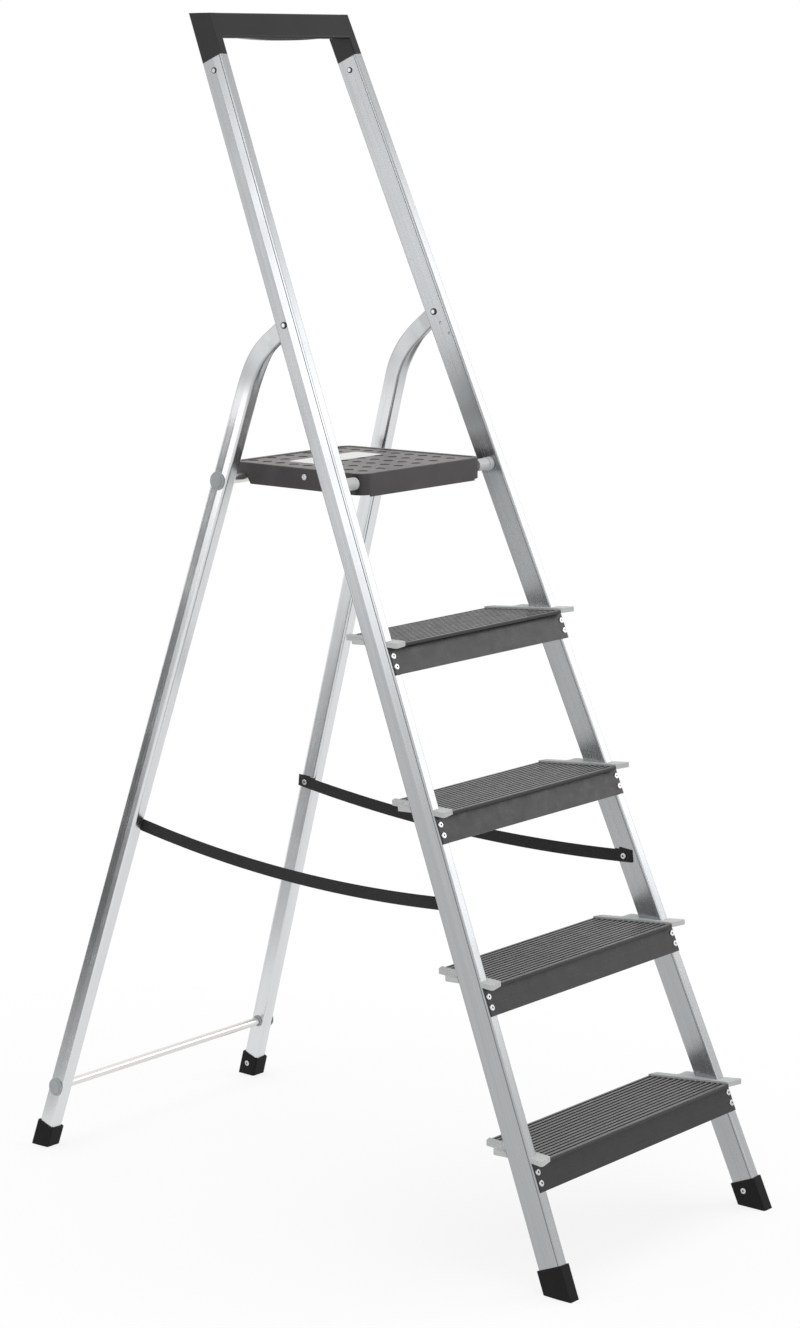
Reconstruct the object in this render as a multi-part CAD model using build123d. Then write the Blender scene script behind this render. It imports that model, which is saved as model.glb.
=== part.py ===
from build123d import *
from math import acos, atan2, cos, hypot, radians, sin, sqrt, tan
import os

# A folding aluminium stepladder with four treads, a hinged plastic platform and a guard rail.
# Millimetres and degrees. +X is the climber's right, +Y points from the climber to the rear legs,
# +Z is up, and the origin lies on the floor under the middle of the stance.
# A height on a tube is measured on its front face, and an inset is measured back from that face.

# Stance
BASE_DEPTH = 1026.0          # floor length over the front and rear feet
STILE_LEAN = 22.64           # front stiles from the vertical, leaning back
STILE_HALF_SPAN = 235.6      # outer faces of the stiles at the floor, from the middle
STILE_TAPER = 0.050          # inward run of each stile per unit of height
LEG_HALF_SPAN = 240.1        # outer faces of the rear legs at the floor, from the middle
LEG_TOP_INSET = 6.7          # rear leg's middle line inside the hinge, carried up to its height

# Front stile tube
STILE_WIDTH = 16.0
STILE_DEPTH = 38.2
STILE_WALL = 1.5
STILE_CORNER = 2.2
GROOVE_INSET = 3.4           # drawn groove behind each front corner
GROOVE_WIDTH = 1.4
GROOVE_DEPTH = 0.8
FACET_SHARE = 0.42           # front share of a tube's outer side that slopes in
FACET_SLOPE = 0.08           # inward run of that share per unit of depth
STOP_DIAMETER = 5.0          # pressed stops under the hinge, on the inner face
STOP_DEPTH = 0.8
STOP_DROPS = (17.5, 36.0)    # below the hinge rivet's height
STOP_INSETS = (17.4, 7.9)

# Rear leg tube
LEG_WIDTH = 21.6
LEG_DEPTH = 27.6
LEG_WALL = 1.3
LEG_CORNER = 4.0
LEG_BEND_RADIUS = 120.0      # middle line of the bend above the platform
LEG_END_LEAN = 52.0          # flattened end from the vertical
LEG_BEND_STEPS = 20          # sections along the pinched bend
LEG_PINCH_START = 0.45       # share of the bend that keeps the tube's width
LEG_DENT = 4.0               # dent in the hollow side of the bend
TONGUE_DEPTH = 26.0          # flattened end, across its side view
TONGUE_CORNER = 2.4

# Leg hinge
HINGE_RISE = 205.8           # above the platform
HINGE_OFFSET = 45.6          # ahead of the rear leg's middle line
PIVOT_INSET = 22.2
PIVOT_DIAMETER = 8.0
PIVOT_HEAD_DIAMETER = 10.0
PIVOT_HEAD_HEIGHT = 1.8
FOLD_REST = 1.5              # angle left between stile and leg when folded

# Treads
TREAD_COUNT = 4
TREAD_RISE = 220.0
FIRST_TREAD_HEIGHT = 177.5   # top of the lowest nose
TREAD_DEPTH = 123.0
TREAD_TILT = 2.9             # the tread falls towards its rear edge
TREAD_PLATE = 3.2
TREAD_LIP = 2.6              # wall of the nose and rear lips
NOSE_LIP_HEIGHT = 4.4
NOSE_ROUND = 1.5
REAR_LIP_HEIGHT = 6.0
NOSE_OVERHANG = 17.9         # nose in front of the riveted flange
FLANGE_THICKNESS = 2.2
FLANGE_DROP = 43.4           # flange's lower edge below the nose
FLANGE_INSET = 1.5           # flange's end inside the stile's outer face
TREAD_END_INSET = 18.8       # nose corner inside the flange's end
TREAD_END_SKEW = 0.197       # inward run of the tread's ends per unit of depth
RIB_GROOVE_PITCH = 8.4
RIB_GROOVE_WIDTH = 3.8
RIB_GROOVE_DEPTH = 1.2
RIB_GROOVE_START = 8.0       # first groove behind the nose
RIB_GROOVE_MARGIN = 4.0      # least run behind the last groove
STIFFENER_COUNT = 2
STIFFENER_HEIGHT = 6.0
STIFFENER_WALL = 1.8
STIFFENER_START = 66.0       # first underside stiffener behind the nose
STIFFENER_PITCH = 28.0

# Rivets
RIVET_SHANK = 4.8
RIVET_HEAD_DIAMETER = 9.0
RIVET_HEAD_HEIGHT = 1.6
RIVET_BORE = 3.0             # open middle of a set blind rivet
RIVET_TAIL = 4.0             # shank past what it clamps
HEAD_ROUND = 0.7             # rounded share of a head's height
TREAD_RIVET_INSET = 4.9      # from the flange's end
TREAD_RIVET_DROPS = (18.8, 32.8)

# Tread end clips
CLIP_THICKNESS = 7.0
CLIP_RISE = 2.4              # clip's top above the tread
CLIP_LOBE_LEAD = 7.0         # front lobe ahead of the nose at its outer end
CLIP_LOBE_FLARE = 8.0        # front lobe outside the stile
CLIP_LOBE_CORNER = 3.0
CLIP_LIP_WIDTH = 13.0        # lip beside the tread's rear corner
CLIP_TIP_SETBACK = 5.0
CLIP_CORNER = 5.0
CLIP_HOOK_REACH = 25.0       # hook behind the stile
CLIP_HOOK_INSET = 1.5        # hook inside the stile's outer face

# Feet
BOOT_WALL = 2.5
BOOT_SOLE = 4.0
BOOT_CORNER = 3.0
FRONT_BOOT_HEIGHT = 44.5
FRONT_BOOT_RIVET_HEIGHT = 31.7
FRONT_BOOT_RIVET_INSET = 21.4
REAR_BOOT_HEIGHT = 30.0
REAR_BOOT_RIVET_HEIGHT = 16.1
REAR_BOOT_RIVET_INSET = 15.0

# Guard rail
RAIL_RISE = 643.5            # rail's top above the platform
RAIL_ARM_HEIGHT = 58.0       # from the stile's upper end to the rail's top
GRIP_HEIGHT = 36.0
GRIP_DEPTH = 33.0
GRIP_ROUND = 3.0
GRIP_SWELL = 3.0             # drop of the grip's underside at mid span
GRIP_SWELL_DEPTH = 21.0
GRIP_SWELL_SHARE = 0.58      # swollen share of the span
RAIL_PLUG_LENGTH = 48.0      # inside the stile
RAIL_RIVET_DROP = 16.2       # rivet below the stile's upper end
RAIL_RIVET_INSET = 19.7

# Platform
DECK_WIDTH = 268.0           # at the front edge
DECK_REAR_WIDTH = 252.0
DECK_TAIL = 24.4             # rear edge behind the rest tube
DECK_CORNER = 18.0
DECK_SKIRT = 30.7
DECK_WALL = 3.0
DECK_PLATE = 4.0
DECK_RIM = 7.0
DECK_RIM_HEIGHT = 1.0
DECK_FRONT = 14.2            # front edge ahead of the hinge axle
DECK_TOP_RISE = 14.05        # top above the hinge axle
DECK_LIP_WIDTH = 230.0       # deeper middle of the front skirt
DECK_LIP_DROP = 2.5
DECK_RIB = 2.6
DECK_RIB_HEIGHT = 12.0
DECK_RIB_COUNT = 4
DECK_CROSS_RIB_COUNT = 3
SADDLE_LENGTH = 34.0         # deeper rib over the rest tube
HOOK_SLANT = 33.0            # front wall of the hook's mouth from the vertical
HOOK_REAR_RISE = 3.6         # skirt behind the rest tube is shallower
DIMPLE_DIAMETER = 14.5
DIMPLE_DEPTH = 0.8
DIMPLE_COLUMN_PITCH = 38.8
DIMPLE_ROW_PITCH = 26.2
DIMPLE_START = 31.0          # first row behind the deck's front edge
DIMPLE_END_MARGIN = 15.0     # least run behind the last row
DIMPLE_SIDE_MARGIN = 28.0    # least run beside the outer columns
BRACE_SETBACK = 97.2         # brace rod behind the hinge axle
BRACE_RISE = 1.5             # brace rod above the hinge axle
BRACE_DIAMETER = 5.0

# Platform hinge
AXLE_INSET = 18.1
AXLE_DIAMETER = 8.0
AXLE_BOSS_DIAMETER = 16.0
AXLE_BOSS_LENGTH = 60.0      # each side, inside the skirt
AXLE_SEAT = 3.0              # axle's end inside the stile
BUSH_DIAMETER = 18.0
BUSH_RING_DIAMETER = 20.0    # ring at the stile
BUSH_RING_LENGTH = 9.0

# Tubes between the rear legs
REST_TUBE_DROP = 22.3        # below the platform's top
REST_TUBE_INSET = 15.5
REST_TUBE_DIAMETER = 14.0
CROSS_BAR_HEIGHT = 91.6
CROSS_BAR_INSET = 13.5
CROSS_BAR_DIAMETER = 12.5
CROSS_TUBE_WALL = 1.5
CROSS_TUBE_SETBACK = 1.0     # tube's end inside the leg's outer face
CAP_DIAMETER = 27.0
CAP_HEIGHT = 4.8
CAP_RIM_HEIGHT = 2.2
CAP_DISC_DIAMETER = 20.0      # raised middle of a cap
CAP_PLUG_LENGTH = 6.0
COLLAR_DIAMETER = 18.0
COLLAR_HEIGHT = 3.0

# Safety straps
STRAP_WIDTH = 18.0
STRAP_THICKNESS = 1.6
STRAP_SAG = 16.0
STRAP_RISE = 98.1            # front rivet above the second tread
STRAP_FRONT_INSET = 24.2
STRAP_REAR_RISE = 10.8       # rear rivet above the front one
STRAP_REAR_INSET = 16.2
STRAP_END = 13.0             # webbing beyond each rivet

# Fits
SEAT_GAP = 0.15              # between pieces that sit against each other
RUNNING_GAP = 0.05           # radial gap of a pin in its bore
MOVING_GAP = 0.3             # between pieces of different moving groups
SIDE_GAP = 1.5               # each side of the flattened leg end
SLOT_GAP = 2.5               # above and below the flattened leg end


class Tube:
    """A leaning tube on the right: X outwards from its outer face, Y back from its front face, Z up along it."""

    def __init__(self, half_span, foot_y, lean, taper, width, depth, wall, corner):
        self.width, self.depth, self.wall, self.corner = width, depth, wall, corner
        self.half_span, self.foot_y, self.lean, self.taper = half_span, foot_y, lean, taper
        depth_dir = Vector(0, cos(lean), -sin(lean))
        axis = Vector(-taper, tan(lean), 1).normalized()
        self.frame = Plane(origin=(half_span, foot_y, 0), x_dir=depth_dir.cross(axis), z_dir=axis)

    def up(self, height):
        """Distance along the tube that climbs by a height."""
        return height / self.frame.z_dir.Z

    def front_y(self, height):
        return self.foot_y + height * tan(self.lean)

    def outer_x(self, height):
        return self.half_span - self.taper * height

    def height_at(self, level, inset, across):
        """Height on the front face of a place inside the tube at a level above the floor."""
        return level - inset * self.frame.y_dir.Z + across * self.frame.x_dir.Z

    def point(self, height, inset, across=0.0):
        """A point by its height on the front face, its depth and its distance from the outer face."""
        return self.frame.from_local_coords(Vector(-across, inset, self.up(height)))

    def facet_depth(self, inset):
        """How far the outer side lies inwards at an inset on its sloping front share."""
        return FACET_SLOPE * (FACET_SHARE * self.depth - inset)

    def facet(self, face):
        """Wedge off the front share of the outer side, whose flat rear share lies at an X."""
        start, front, beside = FACET_SHARE * self.depth, -self.depth, face + self.width
        return make_face(Polyline((face, start), (face - self.facet_depth(front), front), (beside, front),
                                  (beside, start), close=True))

    def outline(self, grow=0.0, corner=None):
        """Outer outline, grown on every side, with the grown corner or one of its own."""
        shape = RectangleRounded(self.width + 2 * grow, self.depth + 2 * grow, corner or self.corner + grow)
        return Pos(-self.width / 2, self.depth / 2) * shape - self.facet(grow)

    def bore(self, gap=0.0):
        """Inside outline, less a gap on every side."""
        inset = 2 * (self.wall + gap)
        corner = max(self.corner - self.wall, self.corner / 4)
        shape = RectangleRounded(self.width - inset, self.depth - inset, corner)
        return Pos(-self.width / 2, self.depth / 2) * shape - self.facet(-self.wall - gap)

    def prism(self, sketch, low, high):
        """A length of the given section between two heights, cut square at both ends."""
        return extrude(self.frame.offset(self.up(low)) * sketch, amount=self.up(high - low))

    def footed(self, sketch, floor, high):
        """A length of the given section from a level cut near the floor up to a height."""
        return split(self.prism(sketch, -2 * self.depth, high), Plane.XY.offset(floor), keep=Keep.TOP)

    def side_hole(self, height, inset, diameter, through=False):
        """A hole square to the side faces, through the inner wall or through both walls."""
        centre = -self.width / 2 if through else -self.width
        length = 2 * self.width if through else self.width
        place = self.frame.location * Pos(centre, inset, self.up(height)) * Rot(0, 90, 0)
        return place * Cylinder(diameter / 2, length)

    def inner_rivet(self, height, inset, clamped):
        """A blind rivet in the inner wall, holding something of the given thickness."""
        place = self.frame.location * Pos(-self.width - clamped, inset, self.up(height)) * Rot(0, -90, 0)
        return place * blind_rivet(clamped + self.wall)


stile_lean = radians(STILE_LEAN)
tread_tilt = radians(TREAD_TILT)
platform_height = FIRST_TREAD_HEIGHT + TREAD_COUNT * TREAD_RISE
rail_top = platform_height + RAIL_RISE
stile_top = rail_top - RAIL_ARM_HEIGHT
rail_rivet_height = stile_top - RAIL_RIVET_DROP
strap_front_height = FIRST_TREAD_HEIGHT + TREAD_RISE + STRAP_RISE
strap_rear_height = strap_front_height + STRAP_REAR_RISE
stile_tube = Tube(STILE_HALF_SPAN, -BASE_DEPTH / 2 + BOOT_WALL / cos(stile_lean), stile_lean, STILE_TAPER,
                  STILE_WIDTH, STILE_DEPTH, STILE_WALL, STILE_CORNER)
pivot_height = stile_tube.height_at(platform_height + HINGE_RISE, PIVOT_INSET, STILE_WIDTH / 2)
pivot = stile_tube.point(pivot_height, PIVOT_INSET, STILE_WIDTH / 2)
axle_height = stile_tube.height_at(platform_height - DECK_TOP_RISE, AXLE_INSET, STILE_WIDTH)
axle = stile_tube.point(axle_height, AXLE_INSET, STILE_WIDTH)

# The rear leg's lean and taper follow from the hinge and from the foot's place on the floor.
leg_run = BASE_DEPTH / 2 - pivot.Y
leg_rear = HINGE_OFFSET + LEG_DEPTH / 2 + BOOT_WALL
leg_lean = acos(leg_rear / hypot(leg_run, pivot.Z)) - atan2(pivot.Z, leg_run)
fold_angle = stile_lean + leg_lean - radians(FOLD_REST)
leg_taper = (LEG_HALF_SPAN - LEG_WIDTH / 2 - pivot.X + LEG_TOP_INSET) / pivot.Z
leg_tube = Tube(LEG_HALF_SPAN, BASE_DEPTH / 2 - (BOOT_WALL + LEG_DEPTH) / cos(leg_lean), -leg_lean, leg_taper,
                LEG_WIDTH, LEG_DEPTH, LEG_WALL, LEG_CORNER)
rest_tube_height = leg_tube.height_at(platform_height - REST_TUBE_DROP, REST_TUBE_INSET, LEG_WIDTH / 2)
rest_tube_axis = leg_tube.point(rest_tube_height, REST_TUBE_INSET, LEG_WIDTH / 2)
cross_bar_axis = leg_tube.point(CROSS_BAR_HEIGHT, CROSS_BAR_INSET, LEG_WIDTH / 2)
deck_depth = rest_tube_axis.Y - axle.Y + DECK_FRONT + DECK_TAIL
tongue_width = STILE_WIDTH - 2 * STILE_WALL - 2 * SIDE_GAP
strap_tilt = STRAP_WIDTH * max(STILE_TAPER, leg_taper)
strap_clamp = STRAP_THICKNESS + strap_tilt + 2 * SEAT_GAP


def both(shape):
    """The right-hand piece and its mirror image on the left."""
    return [shape, mirror(shape, about=Plane.YZ)]


def x_bar(centre, diameter, length):
    """A round bar along X about a point."""
    return Pos(*centre) * Rot(0, 90, 0) * Cylinder(diameter / 2, length)


def button(diameter, height):
    """A disc standing on the origin with its upper edge rounded."""
    disc = Cylinder(diameter / 2, height, align=(Align.CENTER, Align.CENTER, Align.MIN))
    return fillet(disc.edges().sort_by(Axis.Z)[-1], HEAD_ROUND * height)


def headed_pin(diameter, length, head_diameter, head_height):
    """A round pin along Z with a rounded head on each end."""
    head = Pos(0, 0, length / 2) * button(head_diameter, head_height)
    return Cylinder(diameter / 2, length) + head + mirror(head, about=Plane.XY)


def blind_rivet(grip):
    """A set blind rivet: domed head above the origin, shank below it, open through its middle."""
    shank = Cylinder(RIVET_SHANK / 2 - RUNNING_GAP, grip + RIVET_TAIL, align=(Align.CENTER, Align.CENTER, Align.MAX))
    body = button(RIVET_HEAD_DIAMETER, RIVET_HEAD_HEIGHT) + shank
    return body - Cylinder(RIVET_BORE / 2, 4 * (grip + RIVET_TAIL))


def stile():
    """Right front stile: drawn tube with corner grooves, a slot for the leg and rivet holes."""
    section = stile_tube.outline() - stile_tube.bore()
    for x in (-stile_tube.facet_depth(GROOVE_INSET), -STILE_WIDTH):
        section -= Pos(x, GROOVE_INSET) * Rectangle(2 * GROOVE_DEPTH, GROOVE_WIDTH)
    tube = stile_tube.footed(section, BOOT_SOLE + SEAT_GAP, stile_top)
    tube -= leg_slot()
    tube -= x_bar(pivot, PIVOT_DIAMETER + 2 * RUNNING_GAP, 2 * STILE_WIDTH)
    tube -= x_bar(axle, AXLE_DIAMETER + 2 * RUNNING_GAP, STILE_WIDTH)
    tube -= stile_tube.side_hole(rail_rivet_height, RAIL_RIVET_INSET, RIVET_SHANK, through=True)
    tube -= stile_tube.side_hole(strap_front_height, STRAP_FRONT_INSET, RIVET_SHANK)
    tube -= stile_tube.side_hole(FRONT_BOOT_RIVET_HEIGHT, FRONT_BOOT_RIVET_INSET, RIVET_SHANK)
    for drop, inset in zip(STOP_DROPS, STOP_INSETS):
        spot = Pos(-STILE_WIDTH, inset, stile_tube.up(pivot_height - drop))
        cone = Cone(0, STOP_DIAMETER, 2 * STOP_DEPTH)
        tube -= stile_tube.frame.location * spot * Rot(0, -90, 0) * cone
    for index in range(TREAD_COUNT):
        for place in tread_rivet_places(index):
            tube -= place * Cylinder(RIVET_SHANK / 2, 4 * (FLANGE_THICKNESS + STILE_WALL))
    return tube


def leg_slot():
    """Opening in the stile's rear wall that the flattened leg end needs over its whole swing."""
    behind = STILE_DEPTH - PIVOT_INSET
    half = TONGUE_DEPTH / 2
    open_angle = radians(LEG_END_LEAN) + stile_lean
    folded_angle = open_angle - fold_angle
    upper = half / sin(open_angle) - behind / tan(open_angle) + SLOT_GAP
    lower = half / sin(folded_angle) + behind / tan(folded_angle) + SLOT_GAP
    slot = Box(STILE_WIDTH - 2 * STILE_WALL, 2 * (STILE_WALL + STILE_CORNER), upper + lower)
    middle = stile_tube.up(pivot_height) + (upper - lower) / 2
    return stile_tube.frame.location * Pos(-STILE_WIDTH / 2, STILE_DEPTH, middle) * slot


def boot(tube, height, rivet_height, rivet_inset):
    """Rubber foot over a tube's end, square at its collar and level on the floor."""
    shell = tube.footed(tube.outline(BOOT_WALL, BOOT_CORNER), 0, height)
    shell -= tube.footed(tube.outline(SEAT_GAP), BOOT_SOLE, 2 * height)
    return shell - tube.side_hole(rivet_height, rivet_inset, RIVET_SHANK)


def guard_rail():
    """Moulded rail: arms that carry on the stiles, plugs inside them and a grip between the arms."""
    arm = stile_tube.prism(stile_tube.outline(), stile_top, rail_top + RAIL_ARM_HEIGHT)
    arm = split(arm, Plane.XY.offset(rail_top), keep=Keep.BOTTOM)
    arm += stile_tube.prism(stile_tube.bore(SEAT_GAP), stile_top - RAIL_PLUG_LENGTH, stile_top)
    arm -= stile_tube.side_hole(rail_rivet_height, RAIL_RIVET_INSET, RIVET_SHANK, through=True)
    low = rail_top - GRIP_HEIGHT
    depth = GRIP_DEPTH / cos(stile_lean)
    front, top_front = stile_tube.front_y(low), stile_tube.front_y(rail_top)
    outline = Polyline((front, low), (front + depth, low), (top_front + depth, rail_top), (top_front, rail_top),
                       close=True)
    section = make_face(Plane.YZ * outline)
    section = fillet(section.vertices(), GRIP_ROUND)
    grip = extrude(section, amount=stile_tube.outer_x(rail_top) - STILE_WIDTH / 2, both=True)
    span = GRIP_SWELL_SHARE * (stile_tube.outer_x(low) - STILE_WIDTH)
    swell = make_face([Line((-span, 0), (span, 0)), ThreePointArc((-span, 0), (0, -GRIP_SWELL), (span, 0))])
    swell_plane = Plane(origin=(0, front + (depth + GRIP_SWELL_DEPTH) / 2, low), x_dir=(1, 0, 0), z_dir=(0, -1, 0))
    grip += extrude(swell_plane * swell, amount=GRIP_SWELL_DEPTH)
    return grip + both(arm)


def tread_top(index):
    return FIRST_TREAD_HEIGHT + index * TREAD_RISE


def tread_frame(index):
    """Frame at the nose: X across, Y to the rear along the tread, Z square to its top."""
    height = tread_top(index)
    nose_y = stile_tube.front_y(height) - FLANGE_THICKNESS - NOSE_OVERHANG
    return Plane(origin=(0, nose_y, height), x_dir=(1, 0, 0), z_dir=(0, sin(tread_tilt), cos(tread_tilt)))


def flange_frame(height):
    """Frame on the stiles' front plane: X along the flange, Y up the plane, Z to the climber."""
    normal = (0, -cos(stile_lean), sin(stile_lean))
    return Plane(origin=(0, stile_tube.front_y(height), height), x_dir=(1, 0, 0), z_dir=normal)


def flange_half(index):
    """Half length of a tread's flange."""
    return stile_tube.outer_x(tread_top(index) - FLANGE_DROP / 2) - FLANGE_INSET


def tread_end(index, depth):
    """Half length of the tread's top at a depth behind the nose."""
    return flange_half(index) - TREAD_END_INSET - TREAD_END_SKEW * depth


def tread_rivet_places(index):
    """Where the rivet heads sit on the right end of a flange."""
    x = flange_half(index) - TREAD_RIVET_INSET
    for drop in TREAD_RIVET_DROPS:
        yield flange_frame(tread_top(index) - drop).location * Pos(x, 0, FLANGE_THICKNESS)


def tread_section():
    """Profile of the tread's top: plate with rib grooves, nose lip, rear lip and underside stiffeners."""
    section = Pos(TREAD_DEPTH / 2, -TREAD_PLATE / 2) * Rectangle(TREAD_DEPTH, TREAD_PLATE)
    section += Pos(TREAD_LIP / 2, -NOSE_LIP_HEIGHT / 2) * Rectangle(TREAD_LIP, NOSE_LIP_HEIGHT)
    section += Pos(TREAD_DEPTH - TREAD_LIP / 2, -REAR_LIP_HEIGHT / 2) * Rectangle(TREAD_LIP, REAR_LIP_HEIGHT)
    for number in range(STIFFENER_COUNT):
        place = Pos(STIFFENER_START + number * STIFFENER_PITCH, -TREAD_PLATE - STIFFENER_HEIGHT / 2)
        section += place * Rectangle(STIFFENER_WALL, STIFFENER_HEIGHT)
    nose = section.vertices().sort_by(lambda vertex: vertex.X - vertex.Y)[0]
    section = fillet(nose, NOSE_ROUND)
    groove_run = TREAD_DEPTH - RIB_GROOVE_START - RIB_GROOVE_MARGIN
    for number in range(1 + int(groove_run / RIB_GROOVE_PITCH)):
        place = Pos(RIB_GROOVE_START + number * RIB_GROOVE_PITCH, -RIB_GROOVE_DEPTH / 2)
        section -= place * Rectangle(RIB_GROOVE_WIDTH, RIB_GROOVE_DEPTH)
    return section


def flange_rise(index, level):
    """Length of a flange whose front upper edge lies at a level in the tread's frame."""
    frame, lower = tread_frame(index), flange_frame(tread_top(index) - FLANGE_DROP)
    start = frame.to_local_coords(lower.from_local_coords(Vector(0, 0, FLANGE_THICKNESS))).Z
    step = frame.to_local_coords(lower.from_local_coords(Vector(0, 1, FLANGE_THICKNESS))).Z - start
    return (level - start) / step


def tread(index):
    """Extruded tread: ribbed top with skewed ends and a front flange riveted to both stiles."""
    frame = tread_frame(index)
    profile = Plane(origin=frame.origin, x_dir=frame.y_dir, z_dir=(1, 0, 0))
    plate = extrude(profile * tread_section(), amount=flange_half(index), both=True)
    front, rear = -TREAD_DEPTH, 2 * TREAD_DEPTH
    plan = Polyline((tread_end(index, front), front), (tread_end(index, rear), rear),
                    (-tread_end(index, rear), rear), (-tread_end(index, front), front), close=True)
    plate &= extrude(frame * make_face(plan), amount=TREAD_DEPTH, both=True)
    seat = (Align.CENTER, Align.MIN, Align.MIN)
    under_clip = flange_rise(index, CLIP_RISE - CLIP_THICKNESS - SEAT_GAP)
    under_plate = flange_rise(index, -TREAD_PLATE / 2)
    flange = Box(2 * flange_half(index), under_clip, FLANGE_THICKNESS, align=seat)
    flange += Box(2 * tread_end(index, TREAD_DEPTH / 2), under_plate, FLANGE_THICKNESS, align=seat)
    body = plate + flange_frame(tread_top(index) - FLANGE_DROP).location * flange
    for place in tread_rivet_places(index):
        body -= both(place * Cylinder(RIVET_SHANK / 2, 4 * FLANGE_THICKNESS))
    return body


def tread_clip(index, stile_space):
    """Right-hand clip: a plate along the tread's end with a lobe before the stile and a hook behind it."""
    stile_front = (NOSE_OVERHANG + FLANGE_THICKNESS) / (cos(tread_tilt) + sin(tread_tilt) * tan(stile_lean))
    stile_rear = stile_front + STILE_DEPTH / cos(stile_lean - tread_tilt)
    outer = stile_tube.outer_x(tread_top(index))

    def edge(depth, out=0.0):
        return tread_end(index, depth) + SEAT_GAP + out, depth

    lobe = (outer + CLIP_LOBE_FLARE, -CLIP_LOBE_LEAD)
    hook_start = (outer - CLIP_HOOK_INSET, stile_rear)
    hook_end = (outer - CLIP_HOOK_INSET, stile_rear + CLIP_HOOK_REACH)
    lip_start = edge(stile_rear + CLIP_HOOK_REACH, CLIP_LIP_WIDTH)
    lip_end = edge(TREAD_DEPTH - CLIP_TIP_SETBACK, CLIP_LIP_WIDTH)
    plan = make_face(Polyline(edge(0), lobe, (outer, stile_front), hook_start, hook_end, lip_start, lip_end,
                              edge(TREAD_DEPTH), close=True))
    plan = fillet(plan.vertices().sort_by_distance(Vector(*lobe))[0], CLIP_LOBE_CORNER)
    rounded = [plan.vertices().sort_by_distance(Vector(*spot))[0] for spot in (hook_end, lip_start, lip_end)]
    plan = fillet(rounded, CLIP_CORNER)
    clip = Pos(0, 0, CLIP_RISE - CLIP_THICKNESS) * extrude(plan, amount=CLIP_THICKNESS)
    return tread_frame(index).location * clip - stile_space


def ease(share):
    """Smooth rise from 0 to 1."""
    return share * share * (3 - 2 * share)


def leg_outline(place, width, depth, corner, dent, slope, slope_run):
    """Outline of the leg tube: front side dented, front share of the outer side sloping in."""
    x, y = width / 2, depth / 2
    flat_x, flat_y, cut = x - corner, y - corner, corner * (1 - sqrt(0.5))
    drop = slope * (slope_run - corner)
    ends = (-flat_x, -y), (flat_x - drop, -y)
    front = ThreePointArc(ends[0], (-drop / 2, dent - y), ends[1]) if dent else Line(*ends)
    edges = [front, ThreePointArc(ends[1], (x - drop - cut, cut - y), (x - drop, -flat_y)),
             Line((x - drop, -flat_y), (x, slope_run - y)), Line((x, slope_run - y), (x, flat_y)),
             ThreePointArc((x, flat_y), (x - cut, y - cut), (flat_x, y)), Line((flat_x, y), (-flat_x, y)),
             ThreePointArc((-flat_x, y), (cut - x, y - cut), (-x, flat_y)), Line((-x, flat_y), (-x, -flat_y)),
             ThreePointArc((-x, -flat_y), (cut - x, cut - y), ends[0])]
    return place * make_face(edges)


def leg_outlines(place, width, depth, corner, dent=0.0, slope=FACET_SLOPE):
    """Outer and inner outlines of the leg tube, square to its middle line."""
    slope_run = FACET_SHARE * depth
    inner_corner = max(corner - LEG_WALL, corner / 4)
    outer = leg_outline(place, width, depth, corner, dent, slope, slope_run)
    inner = leg_outline(place, width - 2 * LEG_WALL, depth - 2 * LEG_WALL, inner_corner, dent, slope,
                        slope_run - LEG_WALL)
    return outer, inner


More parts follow.
